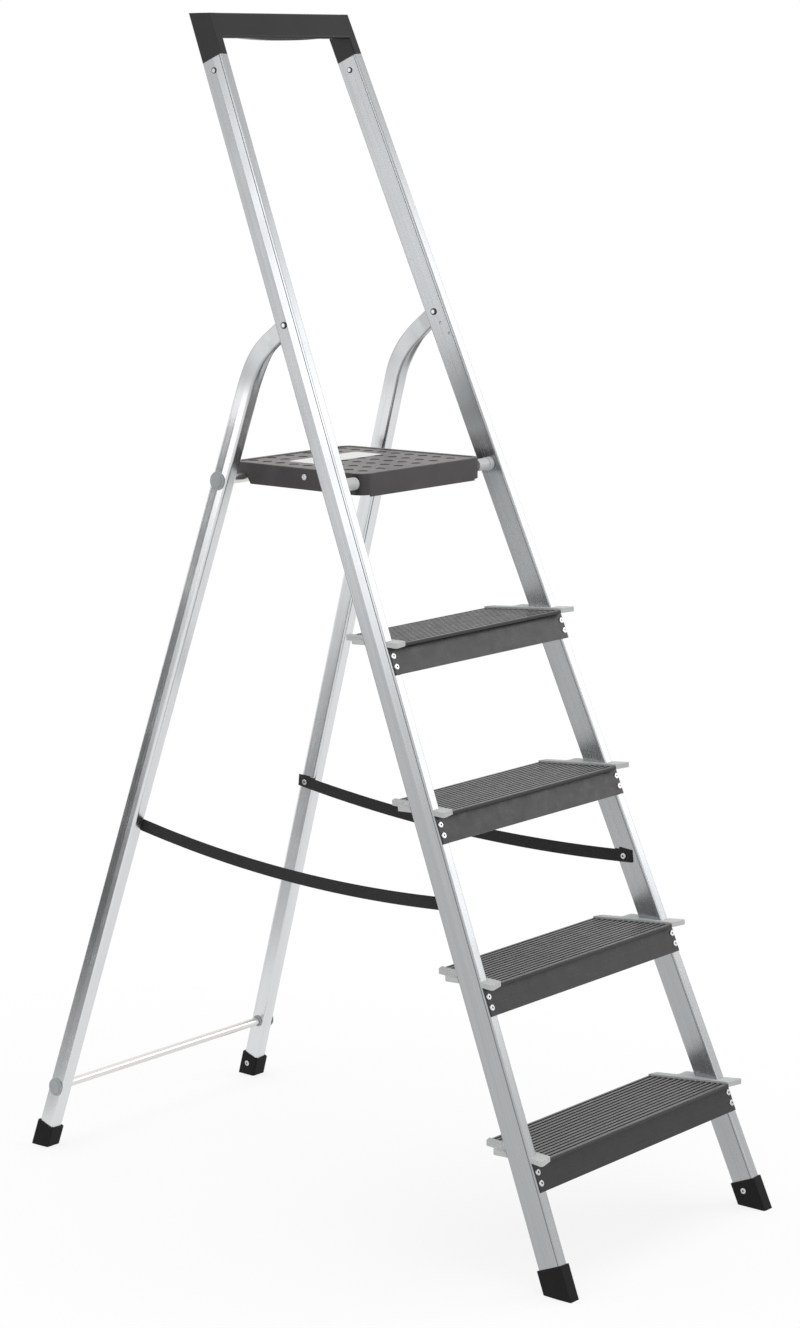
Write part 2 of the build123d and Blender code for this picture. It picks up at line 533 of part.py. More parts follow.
def rear_leg():
    """Right rear leg: straight tube, a bend that is pinched flat, and a flat end that swings on the hinge rivet."""
    end_lean = radians(LEG_END_LEAN)
    turn = end_lean - leg_lean
    corner_reach = HINGE_OFFSET / sin(turn)
    tangent = LEG_BEND_RADIUS * tan(turn / 2)
    flat_length = corner_reach - tangent
    foot = leg_tube.frame.from_local_coords(Vector(-LEG_WIDTH / 2, LEG_DEPTH / 2, 0))
    bend_height = pivot.Z - corner_reach * cos(end_lean) - tangent * cos(leg_lean) - foot.Z
    outer, inner = leg_outlines(Pos(-LEG_WIDTH / 2, LEG_DEPTH / 2), LEG_WIDTH, LEG_DEPTH, LEG_CORNER)
    straight = leg_tube.footed(outer - inner, BOOT_SOLE + SEAT_GAP, bend_height)
    start = leg_tube.frame.from_local_coords(Vector(-LEG_WIDTH / 2, LEG_DEPTH / 2, leg_tube.up(bend_height)))
    centre_y = start.Y - LEG_BEND_RADIUS * cos(leg_lean)
    centre_z = start.Z - LEG_BEND_RADIUS * sin(leg_lean)
    end_x = pivot.X + STILE_TAPER * flat_length
    plane = Plane(origin=start, x_dir=leg_tube.frame.x_dir, z_dir=leg_tube.frame.z_dir)
    outlines = [leg_outlines(plane, LEG_WIDTH, LEG_DEPTH, LEG_CORNER)]
    for step in range(1, LEG_BEND_STEPS + 1):
        share = step / LEG_BEND_STEPS
        lean = leg_lean + turn * share
        squeeze = ease(max(0, share - LEG_PINCH_START) / (1 - LEG_PINCH_START))
        origin = (start.X + (end_x - start.X) * ease(share), centre_y + LEG_BEND_RADIUS * cos(lean),
                  centre_z + LEG_BEND_RADIUS * sin(lean))
        along = Vector(-STILE_TAPER, -sin(lean), cos(lean)).normalized()
        plane = Plane(origin=origin, x_dir=Vector(0, cos(lean), sin(lean)).cross(along), z_dir=along)
        outlines.append(leg_outlines(plane, LEG_WIDTH + (tongue_width - LEG_WIDTH) * squeeze,
                                     LEG_DEPTH + (TONGUE_DEPTH - LEG_DEPTH) * squeeze,
                                     LEG_CORNER + (TONGUE_CORNER - LEG_CORNER) * squeeze,
                                     LEG_DENT * (4 * share * (1 - share)) ** 2, FACET_SLOPE * (1 - squeeze)))
    outers, inners = zip(*outlines)
    bend = loft(outers, ruled=True) - loft(inners, ruled=True)
    flat = extrude(outlines[-1][0] - outlines[-1][1], amount=flat_length + TONGUE_DEPTH)
    end_plane = Plane(origin=pivot, x_dir=(1, 0, 0), z_dir=(0, -sin(end_lean), cos(end_lean)))
    below_hinge = Box(4 * LEG_WIDTH, TONGUE_DEPTH, 2 * flat_length, align=(Align.CENTER, Align.CENTER, Align.MAX))
    flat &= x_bar(pivot, TONGUE_DEPTH, 4 * LEG_WIDTH) + end_plane.location * below_hinge
    leg = straight + bend + flat
    leg -= x_bar(pivot, PIVOT_DIAMETER + 2 * RUNNING_GAP, 2 * STILE_WIDTH)
    leg -= x_bar(rest_tube_axis, REST_TUBE_DIAMETER + 2 * SEAT_GAP, 2 * LEG_WIDTH)
    leg -= x_bar(cross_bar_axis, CROSS_BAR_DIAMETER + 2 * SEAT_GAP, 2 * LEG_WIDTH)
    leg -= leg_tube.side_hole(strap_rear_height, STRAP_REAR_INSET, RIVET_SHANK)
    leg -= leg_tube.side_hole(REAR_BOOT_RIVET_HEIGHT, REAR_BOOT_RIVET_INSET, RIVET_SHANK)
    return leg


def hinge_rivet():
    """Right hinge rivet through the stile and the flattened leg end."""
    length = STILE_WIDTH / stile_tube.frame.x_dir.X + STILE_TAPER * PIVOT_HEAD_DIAMETER
    pin = headed_pin(PIVOT_DIAMETER, length, PIVOT_HEAD_DIAMETER, PIVOT_HEAD_HEIGHT)
    return Pos(*pivot) * Rot(0, 90, 0) * pin


def rail_rivet():
    """Right rivet across the stile and the guard rail's plug."""
    pin = headed_pin(RIVET_SHANK - 2 * RUNNING_GAP, STILE_WIDTH, RIVET_HEAD_DIAMETER, RIVET_HEAD_HEIGHT)
    spot = Pos(-STILE_WIDTH / 2, RAIL_RIVET_INSET, stile_tube.up(rail_rivet_height))
    return stile_tube.frame.location * spot * Rot(0, 90, 0) * pin


def platform_axle():
    """Rod through the deck, its ends in the stiles' inner walls."""
    return x_bar((0, axle.Y, axle.Z), AXLE_DIAMETER, 2 * (axle.X + AXLE_SEAT))


def deck_half(depth):
    """Half width of the deck at a depth behind its front edge."""
    return (DECK_WIDTH + (DECK_REAR_WIDTH - DECK_WIDTH) * depth / deck_depth) / 2


def platform_bush():
    """Right spacer on the axle between the deck and the stile, with a ring at the stile."""
    start = deck_half(DECK_FRONT - BUSH_DIAMETER / 2) + MOVING_GAP
    end = axle.X - SEAT_GAP - STILE_TAPER * BUSH_RING_DIAMETER / 2
    bush = x_bar(((start + end) / 2, axle.Y, axle.Z), BUSH_DIAMETER, end - start)
    bush += x_bar((end - BUSH_RING_LENGTH / 2, axle.Y, axle.Z), BUSH_RING_DIAMETER, BUSH_RING_LENGTH)
    return bush - x_bar(axle, AXLE_DIAMETER + 2 * RUNNING_GAP, 2 * end)


def cross_tube(axis, diameter):
    """Round tube across both rear legs, ending just inside their outer faces."""
    centre = (0, axis.Y, axis.Z)
    length = 2 * (axis.X + LEG_WIDTH / 2 - CROSS_TUBE_SETBACK)
    return x_bar(centre, diameter, length) - x_bar(centre, diameter - 2 * CROSS_TUBE_WALL, 2 * length)


def leg_face(axis, side):
    """Frame where a cross tube meets the leg's outer face, or its inner face, Z pointing off the face."""
    shift = side * LEG_WIDTH / 2 / leg_tube.frame.x_dir.X
    return Plane(origin=(axis.X + shift, axis.Y, axis.Z), x_dir=leg_tube.frame.y_dir,
                 z_dir=side * leg_tube.frame.x_dir)


def leg_cap(axis, diameter):
    """Right cap on the leg's outer face, plugged into the tube that ends there."""
    plug = diameter - 2 * CROSS_TUBE_WALL - 2 * leg_taper * CAP_PLUG_LENGTH - 2 * SEAT_GAP
    cap = button(CAP_DIAMETER, CAP_RIM_HEIGHT) + button(CAP_DISC_DIAMETER, CAP_HEIGHT)
    cap += Cylinder(plug / 2, CAP_PLUG_LENGTH, align=(Align.CENTER, Align.CENTER, Align.MAX))
    return leg_face(axis, 1).location * cap


def leg_collar(axis, diameter):
    """Right ring round a tube where it enters the leg's inner face."""
    ring = button(COLLAR_DIAMETER, COLLAR_HEIGHT)
    ring -= Cylinder(diameter / 2 + leg_taper * COLLAR_HEIGHT + SEAT_GAP, 4 * COLLAR_HEIGHT)
    return leg_face(axis, -1).location * ring


def deck_plan(inset=0.0):
    """Plan of the deck from the middle of its front edge, drawn in on every side."""
    rear = deck_depth - inset
    front_x, rear_x = deck_half(inset) - inset, deck_half(rear) - inset
    plan = make_face(Polyline((front_x, inset), (rear_x, rear), (-rear_x, rear), (-front_x, inset), close=True))
    return fillet(plan.vertices(), DECK_CORNER - inset)


def platform_deck():
    """Moulded deck: rimmed top with grip dimples, skirt, ribs, axle bosses and a hook for the rest tube."""
    top = Pos(0, axle.Y - DECK_FRONT, platform_height)
    roof = top * Pos(0, 0, -DECK_RIM_HEIGHT - DECK_PLATE)
    outer = extrude(top * deck_plan(), amount=-DECK_SKIRT)
    deck = outer - extrude(roof * deck_plan(DECK_WALL), amount=-DECK_SKIRT)
    deck -= extrude(top * deck_plan(DECK_RIM), amount=-DECK_RIM_HEIGHT)
    deck -= [top * spot * Cylinder(DIMPLE_DIAMETER / 2, 2 * DIMPLE_DEPTH) for spot in dimple_spots()]
    lip = Box(DECK_LIP_WIDTH, DECK_WALL, DECK_LIP_DROP, align=(Align.CENTER, Align.MIN, Align.MAX))
    deck += top * Pos(0, 0, -DECK_SKIRT) * lip
    for rib in deck_ribs():
        deck += roof * rib & outer
    boss_x = deck_half(DECK_FRONT) - AXLE_BOSS_LENGTH / 2
    for boss in both(x_bar((boss_x, axle.Y, axle.Z), AXLE_BOSS_DIAMETER, AXLE_BOSS_LENGTH)):
        deck += boss & outer
    deck -= x_bar((0, axle.Y, axle.Z), AXLE_DIAMETER + 2 * RUNNING_GAP, 2 * DECK_WIDTH)
    deck -= x_bar((0, axle.Y + BRACE_SETBACK, axle.Z + BRACE_RISE), BRACE_DIAMETER + 2 * RUNNING_GAP, 2 * DECK_WIDTH)
    return deck - hook_space()


def deck_ribs():
    """Underside ribs from the middle of the deck's front edge, those along the deck deeper over the rest tube."""
    hang = (Align.CENTER, Align.CENTER, Align.MAX)
    saddle_height = REST_TUBE_DROP - DECK_RIM_HEIGHT - DECK_PLATE
    for number in range(1, DECK_RIB_COUNT + 1):
        x = (number / (DECK_RIB_COUNT + 1) - 0.5) * DECK_REAR_WIDTH
        yield Pos(x, deck_depth / 2) * Box(DECK_RIB, deck_depth, DECK_RIB_HEIGHT, align=hang)
        yield Pos(x, deck_depth - DECK_TAIL) * Box(DECK_RIB, SADDLE_LENGTH, saddle_height, align=hang)
    for number in range(1, DECK_CROSS_RIB_COUNT + 1):
        y = number / (DECK_CROSS_RIB_COUNT + 1) * deck_depth
        yield Pos(0, y) * Box(DECK_WIDTH, DECK_RIB, DECK_RIB_HEIGHT, align=hang)


def dimple_spots():
    """Middles of the round grip recesses, from the middle of the deck's front edge."""
    columns = 1 + int((DECK_REAR_WIDTH - 2 * DIMPLE_SIDE_MARGIN) / DIMPLE_COLUMN_PITCH)
    rows = 1 + int((deck_depth - DIMPLE_START - DIMPLE_END_MARGIN) / DIMPLE_ROW_PITCH)
    for row in range(rows):
        for column in range(columns):
            x = (column - (columns - 1) / 2) * DIMPLE_COLUMN_PITCH
            yield Pos(x, DIMPLE_START + row * DIMPLE_ROW_PITCH, -DECK_RIM_HEIGHT)


def hook_space():
    """Room for the rest tube in the deck: a saddle over the tube and a way out, down and forwards."""
    radius = REST_TUBE_DIAMETER / 2 + MOVING_GAP
    y, z = rest_tube_axis.Y, rest_tube_axis.Z
    slant = radians(HOOK_SLANT)
    touch_y, touch_z = y - radius * cos(slant), z + radius * sin(slant)
    skirt_z = platform_height - DECK_SKIRT
    floor_z = skirt_z - DECK_SKIRT
    mouth = Polyline((y + radius, z), (y + radius, floor_z), (touch_y - (touch_z - floor_z) * tan(slant), floor_z),
                     (touch_y, touch_z), close=True)
    space = extrude(make_face(Plane.YZ * mouth), amount=DECK_WIDTH, both=True)
    space += x_bar((0, y, z), 2 * radius, 2 * DECK_WIDTH)
    behind = Box(2 * DECK_WIDTH, deck_depth, DECK_SKIRT, align=(Align.CENTER, Align.MIN, Align.MAX))
    return space + Pos(0, y, skirt_z + HOOK_REAR_RISE) * behind


def brace_rod():
    """Rod across the deck's skirt with a riveted head on each side."""
    side = deck_half(DECK_FRONT + BRACE_SETBACK - RIVET_HEAD_DIAMETER / 2) + SEAT_GAP
    rod = headed_pin(BRACE_DIAMETER, 2 * side, RIVET_HEAD_DIAMETER, RIVET_HEAD_HEIGHT)
    return Pos(0, axle.Y + BRACE_SETBACK, axle.Z + BRACE_RISE) * Rot(0, 90, 0) * rod


def strap():
    """Right webbing strap hanging between the stile's and the leg's inner faces."""
    front = stile_tube.point(strap_front_height, STRAP_FRONT_INSET, STILE_WIDTH)
    rear = leg_tube.point(strap_rear_height, STRAP_REAR_INSET, LEG_WIDTH)
    run = Vector(rear.X - front.X, rear.Y - front.Y, 0)
    origin = (front.X - SEAT_GAP - strap_tilt / 2, front.Y, front.Z)
    plane = Plane(origin=origin, x_dir=run, z_dir=run.cross(Vector(0, 0, 1)))
    rise, half = rear.Z - front.Z, STRAP_WIDTH / 2
    middle = (run.length / 2, rise / 2 - STRAP_SAG)
    start, end = (-STRAP_END, 0), (run.length + STRAP_END, rise)
    band = trace(ThreePointArc(start, middle, end), STRAP_WIDTH)
    band = extrude(plane * band, amount=-STRAP_THICKNESS)
    for centre in (front, rear):
        band -= x_bar(centre, RIVET_SHANK + 4 * SEAT_GAP, 4 * STILE_WIDTH)
    return band


def build():
    """All nodes of the ladder by name."""
    nodes = {}

    def pair(name, shape):
        nodes["right_" + name], nodes["left_" + name] = both(shape)

    def set_of(name, shape):
        nodes[name] = Compound(children=both(shape))

    pair("stile", stile())
    pair("rear_leg", rear_leg())
    pair("front_foot", boot(stile_tube, FRONT_BOOT_HEIGHT, FRONT_BOOT_RIVET_HEIGHT, FRONT_BOOT_RIVET_INSET))
    pair("rear_foot", boot(leg_tube, REAR_BOOT_HEIGHT, REAR_BOOT_RIVET_HEIGHT, REAR_BOOT_RIVET_INSET))
    pair("hinge_rivet", hinge_rivet())
    pair("platform_bush", platform_bush())
    pair("strap", strap())
    nodes["guard_rail"] = guard_rail()
    set_of("guard_rail_rivets", rail_rivet())
    beside = Pos(STILE_WIDTH / 4, STILE_DEPTH / 2) * Rectangle(1.5 * STILE_WIDTH, STILE_DEPTH + 2 * SEAT_GAP)
    stile_space = stile_tube.prism(stile_tube.outline(SEAT_GAP) + beside, 0, stile_top)
    tread_rivets = []
    for index in range(TREAD_COUNT):
        number = str(index + 1)
        nodes["tread_" + number] = tread(index)
        pair("tread_clip_" + number, tread_clip(index, stile_space))
        for place in tread_rivet_places(index):
            tread_rivets += both(place * blind_rivet(FLANGE_THICKNESS + STILE_WALL))
    nodes["tread_rivets"] = Compound(children=tread_rivets)
    set_of("front_foot_rivets", stile_tube.inner_rivet(FRONT_BOOT_RIVET_HEIGHT, FRONT_BOOT_RIVET_INSET, BOOT_WALL))
    set_of("rear_foot_rivets", leg_tube.inner_rivet(REAR_BOOT_RIVET_HEIGHT, REAR_BOOT_RIVET_INSET, BOOT_WALL))
    set_of("front_strap_rivets", stile_tube.inner_rivet(strap_front_height, STRAP_FRONT_INSET, strap_clamp))
    set_of("rear_strap_rivets", leg_tube.inner_rivet(strap_rear_height, STRAP_REAR_INSET, strap_clamp))
    nodes["platform_axle"] = platform_axle()
    nodes["platform_deck"] = platform_deck()
    nodes["platform_brace_rod"] = brace_rod()
    nodes["rest_tube"] = cross_tube(rest_tube_axis, REST_TUBE_DIAMETER)
    nodes["cross_bar"] = cross_tube(cross_bar_axis, CROSS_BAR_DIAMETER)
    set_of("rest_tube_caps", leg_cap(rest_tube_axis, REST_TUBE_DIAMETER))
    set_of("cross_bar_caps", leg_cap(cross_bar_axis, CROSS_BAR_DIAMETER))
    set_of("cross_bar_collars", leg_collar(cross_bar_axis, CROSS_BAR_DIAMETER))
    return nodes


os.makedirs("parts", exist_ok=True)
for node_name, node_shape in build().items():
    export_step(node_shape, "parts/" + node_name + ".step")
print("Hinge axis", tuple(pivot), "platform axis", tuple(axle))
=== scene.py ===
# %% [markdown]
# # A folding stepladder
# The ladder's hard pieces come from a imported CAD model. Here they get their finishes, and the pieces
# that CAD leaves plain, such as the woven straps, are worked out as surfaces with numpy.
# Everything is in metres: +X is the climber's right, +Y points to the rear legs and +Z is up.

# %% Load the frame
import math

import bpy
import numpy as np
from mathutils import Matrix, Vector


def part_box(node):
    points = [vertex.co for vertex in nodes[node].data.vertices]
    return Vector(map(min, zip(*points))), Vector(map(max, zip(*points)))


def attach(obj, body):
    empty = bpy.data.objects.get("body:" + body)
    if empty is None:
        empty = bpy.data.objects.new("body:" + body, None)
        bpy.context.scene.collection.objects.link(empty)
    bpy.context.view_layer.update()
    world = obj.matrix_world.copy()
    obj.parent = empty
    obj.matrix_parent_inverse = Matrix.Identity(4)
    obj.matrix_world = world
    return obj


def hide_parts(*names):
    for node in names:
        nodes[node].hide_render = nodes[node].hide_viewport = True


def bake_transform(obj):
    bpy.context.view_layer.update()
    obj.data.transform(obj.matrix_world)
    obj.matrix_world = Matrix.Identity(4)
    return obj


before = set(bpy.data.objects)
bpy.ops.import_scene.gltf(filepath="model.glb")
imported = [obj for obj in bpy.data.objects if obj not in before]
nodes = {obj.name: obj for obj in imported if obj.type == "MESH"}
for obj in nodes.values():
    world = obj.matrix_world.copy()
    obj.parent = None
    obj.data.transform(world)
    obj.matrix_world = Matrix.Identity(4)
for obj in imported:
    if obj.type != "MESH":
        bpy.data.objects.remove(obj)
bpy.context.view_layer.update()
scene = bpy.context.scene

# %% [markdown]
# ## The camera
# A photograph fixes where the camera stood: the way parallel edges run together gives the distance and
# the focal length. The numbers below were fitted to edges, rivets and feet. The picture is a crop, so its
# middle isn't the lens's middle, and the camera's shift takes up that difference.

# %% Camera
IMAGE_WIDTH, IMAGE_HEIGHT = 800, 1328
CAMERA_PLACE = (-3.5272, -3.0242, 1.6093)
YAW, PITCH, ROLL = (math.radians(angle) for angle in (49.222, -6.292, -0.39))
FOCAL_PIXELS = 3250.0
LENS_MIDDLE = (377.1, 434.6)

look = Vector((math.sin(YAW) * math.cos(PITCH), math.cos(YAW) * math.cos(PITCH), math.sin(PITCH)))
level = Vector((math.cos(YAW), -math.sin(YAW), 0.0))
upright = level.cross(look)
right = math.cos(ROLL) * level + math.sin(ROLL) * upright
up = math.cos(ROLL) * upright - math.sin(ROLL) * level
camera_data = bpy.data.cameras.new("camera")
camera = bpy.data.objects.new("camera", camera_data)
scene.collection.objects.link(camera)
turn = Matrix((right, up, -look)).transposed().to_4x4()
camera.matrix_world = Matrix.Translation(CAMERA_PLACE) @ turn
long_side = max(IMAGE_WIDTH, IMAGE_HEIGHT)
camera_data.lens = FOCAL_PIXELS / long_side * camera_data.sensor_width
camera_data.shift_x = (IMAGE_WIDTH / 2 - LENS_MIDDLE[0]) / long_side
camera_data.shift_y = (LENS_MIDDLE[1] - IMAGE_HEIGHT / 2) / long_side
scene.camera = camera
print("Lens:", round(camera_data.lens, 1), "mm, shift:",
      round(camera_data.shift_x, 4), round(camera_data.shift_y, 4))

# %% [markdown]
# ## Building materials from nodes
# Every finish below is a small network of nodes. One helper makes a node and fills its sockets, so that
# a finish reads like a list of what the surface has: colour, gloss and fine relief.

# %% Node helpers
def new_finish(name):
    """A material with a Principled shader; returns the material, its node tree and the shader."""
    material = bpy.data.materials.new(name)
    material.use_nodes = True
    tree = material.node_tree
    return material, tree, tree.nodes["Principled BSDF"]


def add(tree, kind, sockets=None, **settings):
    """Makes a node, sets its properties, and sets or links its sockets by name or index."""
    node = tree.nodes.new(kind)
    for key, value in settings.items():
        setattr(node, key, value)
    for key, value in (sockets or {}).items():
        if isinstance(value, bpy.types.NodeSocket):
            tree.links.new(value, node.inputs[key])
        else:
            node.inputs[key].default_value = value
    return node


def ramp(tree, factor, low, high, start=0.0, end=1.0):
    """A straight change from one value to another between two factors."""
    sockets = {"Value": factor, "From Min": start, "From Max": end, "To Min": low, "To Max": high}
    return add(tree, "ShaderNodeMapRange", sockets).outputs["Result"]


def tint(tree, factor, dark, light, start=0.3, end=0.7):
    """A colour that runs from dark to light with a factor."""
    node = add(tree, "ShaderNodeValToRGB", {"Fac": factor})
    for element, place, colour in zip(node.color_ramp.elements, (start, end), (dark, light)):
        element.position = place
        element.color = (*colour, 1.0)
    return node.outputs["Color"]


def relief(tree, height, distance):
    """Bump from a height; distance is the depth in metres of one unit of height."""
    sockets = {"Height": height, "Distance": distance, "Strength": 1.0}
    return add(tree, "ShaderNodeBump", sockets).outputs["Normal"]


def noise(tree, place, scale, detail=2.0, roughness=0.5):
    """Noise with a number of lumps per metre."""
    sockets = {"Vector": place, "Scale": scale, "Detail": detail, "Roughness": roughness}
    return add(tree, "ShaderNodeTexNoise", sockets).outputs["Fac"]


def object_place(tree, turn=(0, 0, 0), stretch=(1, 1, 1)):
    """Object coordinates, turned and then stretched."""
    place = add(tree, "ShaderNodeTexCoord").outputs["Object"]
    turned = add(tree, "ShaderNodeMapping", {"Vector": place, "Rotation": turn}).outputs["Vector"]
    return add(tree, "ShaderNodeMapping", {"Vector": turned, "Scale": stretch}).outputs["Vector"]


def object_height(tree):
    """Height above the floor, from the Object coordinates."""
    place = add(tree, "ShaderNodeTexCoord").outputs["Object"]
    return add(tree, "ShaderNodeSeparateXYZ", {"Vector": place}).outputs["Z"]


def recolour(material, factor, colour):
    """Lays a second colour over a finish's own: own + factor (second - own)."""
    tree = material.node_tree
    base = tree.nodes["Principled BSDF"].inputs["Base Color"]
    sockets = {"Factor": factor, "A": base.links[0].from_socket, "B": colour}
    tree.links.new(add(tree, "ShaderNodeMix", sockets, data_type="RGBA").outputs["Result"], base)


def dress(names, material):
    """Gives CAD nodes one finish."""
    for name in names:
        slots = nodes[name].data.materials
        slots.clear()
        slots.append(material)


print("Helpers ready")

# %% [markdown]
# ## Drawn aluminium
# The stiles and legs are pulled through a die, which leaves fine lines along the tube. Noise stretched
# along the tube gives them, so each leaning tube needs coordinates turned to its own axis. The lines
# vary the gloss and the relief, and a slow noise clouds the satin surface. Over the bend of the legs the
# colour is painted darker, a painted shade that tones down the lamp's highlight there, and the finish is
# rougher.

# %% Drawn aluminium
STILE_LEAN, LEG_LEAN = math.radians(22.64), math.radians(17.869)
SIDE_TAPER = {"stile": 0.050, "leg": 0.057}
LINE_STRETCH, BAND_STRETCH, LINE_DEPTH = (900, 2.2), (160, 0.9), 0.000004
STILE_METAL = ((0.380, 0.390, 0.400), (0.435, 0.445, 0.455))
# The legs' tones are painted lighter than the stiles' (painted light), so that their front faces come out
# bright.
LEG_METAL_PAINTED_LIGHT = ((0.67, 0.68, 0.69), (0.75, 0.76, 0.77))
# Over the bend the colour is painted darker: a painted shade that tones down the lamp's highlight there.
BEND_SHADE_HEIGHTS, BEND_PAINTED_SHADE, BEND_ROUGHNESS = (1.12, 1.19), (0.47, 0.48, 0.49, 1.0), 0.46


def tube_place(tree, turn, across, along):
    """Coordinates stretched along a tube: turned to its axis, or with no turn from its own UV map."""
    if turn is not None:
        return object_place(tree, turn, (across, across, along))
    place = add(tree, "ShaderNodeTexCoord").outputs["UV"]
    return add(tree, "ShaderNodeMapping", {"Vector": place, "Scale": (across, along, 1)}).outputs["Vector"]


def drawn_aluminium(name, tones, turn=None):
    """Satin metal with fine lines along a tube."""
    material, tree, shader = new_finish(name)
    lines = noise(tree, tube_place(tree, turn, *LINE_STRETCH), scale=1.0, detail=2.0, roughness=0.5)
    bands = noise(tree, tube_place(tree, turn, *BAND_STRETCH), scale=1.0, detail=2.0)
    clouds = noise(tree, object_place(tree), scale=14.0, detail=3.0)
    shade = add(tree, "ShaderNodeMix", {"Factor": 0.5, "A": lines, "B": bands}).outputs["Result"]
    tree.links.new(tint(tree, shade, *tones), shader.inputs["Base Color"])
    gloss = add(tree, "ShaderNodeMath", {0: lines, 1: clouds}, operation="MULTIPLY").outputs["Value"]
    tree.links.new(ramp(tree, gloss, 0.20, 0.32, start=0.1, end=0.5), shader.inputs["Roughness"])
    tree.links.new(relief(tree, lines, LINE_DEPTH), shader.inputs["Normal"])
    shader.inputs["Metallic"].default_value = 1.0
    return material


def dull_above(material, heights, colour, roughness):
    """Painted shade and a rougher finish over the leg's bend: it comes in between two heights."""
    tree = material.node_tree
    bend_shade = ramp(tree, object_height(tree), 0.0, 1.0, *heights)
    recolour(material, bend_shade, colour)
    gloss = tree.nodes["Principled BSDF"].inputs["Roughness"]
    sockets = {"Factor": bend_shade, "A": gloss.links[0].from_socket, "B": roughness}
    tree.links.new(add(tree, "ShaderNodeMix", sockets).outputs["Result"], gloss)


for side, sign in (("right", 1), ("left", -1)):
    stile_turn = (STILE_LEAN, math.atan(sign * SIDE_TAPER["stile"]), 0.0)
    dress([side + "_stile"], drawn_aluminium(side + "_stile_aluminium", STILE_METAL, stile_turn))
# The legs' finish: painted lighter than the stiles' (painted light), and painted darker over the bend below.
leg_lit_and_shaded_finish = drawn_aluminium("leg_aluminium", LEG_METAL_PAINTED_LIGHT)
# Painted shade, with a rougher finish, over the bend of the legs.
dull_above(leg_lit_and_shaded_finish, BEND_SHADE_HEIGHTS, BEND_PAINTED_SHADE, BEND_ROUGHNESS)
dress(["right_rear_leg", "left_rear_leg"], leg_lit_and_shaded_finish)
print("Drawn aluminium on the stiles and rear legs")

# %% [markdown]
# The two round tubes between the legs lie along X, and are brighter and a little warmer.

# %% Round tubes
TUBE_STRETCH = (3, 900, 900)
TUBE_METAL = ((0.66, 0.65, 0.62), (0.80, 0.79, 0.77))


def bright_tube():
    """Bright drawn metal with lines along X."""
    material, tree, shader = new_finish("bright_tube")
    lines = noise(tree, object_place(tree, stretch=TUBE_STRETCH), scale=1.0, detail=3.0, roughness=0.6)
    tree.links.new(tint(tree, lines, *TUBE_METAL), shader.inputs["Base Color"])
    tree.links.new(ramp(tree, lines, 0.22, 0.38), shader.inputs["Roughness"])
    shader.inputs["Metallic"].default_value = 1.0
    return material


dress(["rest_tube", "cross_bar"], bright_tube())
print("Bright metal on the round tubes")

# %% [markdown]
# Rivets are small turned pieces of bright aluminium, and the platform's rods are plated steel. Fine noise
# is enough at their size. The closed rivets of the hinges and the guard rail get a painted shadow: a dark
# rim round a bright middle, so their colour changes with the distance from the rivet's own axis, which lies
# along X.

# %% Rivets and rods
RIVET_METAL = ((0.48, 0.48, 0.49), (0.66, 0.66, 0.67), 0.24)
ROD_METAL = ((0.45, 0.45, 0.46), (0.62, 0.62, 0.62), 0.35)
SHADOW_RIM_SPAN, RIM_PAINTED_SHADOW = (0.0027, 0.0032), (0.06, 0.06, 0.062, 1.0)
SCUFF_DEPTH = 0.00005


def small_metal(name, dark, light, rough):
    """Plain metal with fine scuffs."""
    material, tree, shader = new_finish(name)
    scuffs = noise(tree, object_place(tree), scale=700.0, detail=4.0, roughness=0.6)
    tree.links.new(tint(tree, scuffs, dark, light), shader.inputs["Base Color"])
    tree.links.new(ramp(tree, scuffs, rough - 0.08, rough + 0.1), shader.inputs["Roughness"])
    tree.links.new(relief(tree, scuffs, SCUFF_DEPTH), shader.inputs["Normal"])
    shader.inputs["Metallic"].default_value = 1.0
    return material


def rimmed_rivet(node):
    """Rivet metal with a dark rim of painted shadow; the distance is taken from the line along X through the
    node's middle.
    """
    material = small_metal(node + "_aluminium", *RIVET_METAL)
    tree = material.node_tree
    _, y, z = ((low + high) / 2 for low, high in zip(*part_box(node)))
    place = add(tree, "ShaderNodeTexCoord").outputs["Object"]
    beside = add(tree, "ShaderNodeVectorMath", {0: place, 1: (0, 1, 1)}, operation="MULTIPLY").outputs[0]
    apart = add(tree, "ShaderNodeVectorMath", {0: beside, 1: (0, y, z)}, operation="DISTANCE")
    recolour(material, ramp(tree, apart.outputs["Value"], 0.0, 1.0, *SHADOW_RIM_SPAN), RIM_PAINTED_SHADOW)
    return material


rivet_names = [name for name in nodes if "rivet" in name]
dress(rivet_names, small_metal("rivet_aluminium", *RIVET_METAL))
# These rivets get a painted shadow as a dark rim round the head.
for name in ("right_hinge_rivet", "left_hinge_rivet", "guard_rail_rivets"):
    dress([name], rimmed_rivet(name))
dress(["platform_axle", "platform_brace_rod"], small_metal("rod_steel", *ROD_METAL))
print("Rivets:", rivet_names)

# %% [markdown]
# ## Dark treads
# The treads are extruded like the tubes and then coated dark. The coat keeps a soft sheen, with faint
# lines along X. Faces that point up are painted paler: a painted sheen, with some wear from shoes.

# %% Coated treads
TREAD_COAT = ((0.0115, 0.0122, 0.0138), (0.0230, 0.0232, 0.0248))
TREAD_SHEEN_AND_WEAR = ((0.068, 0.065, 0.064), (0.108, 0.104, 0.102))
TREAD_STRETCH, COAT_DEPTH = (2.5, 700, 700), 0.00005
FACES_UP = (0.80, 0.97)


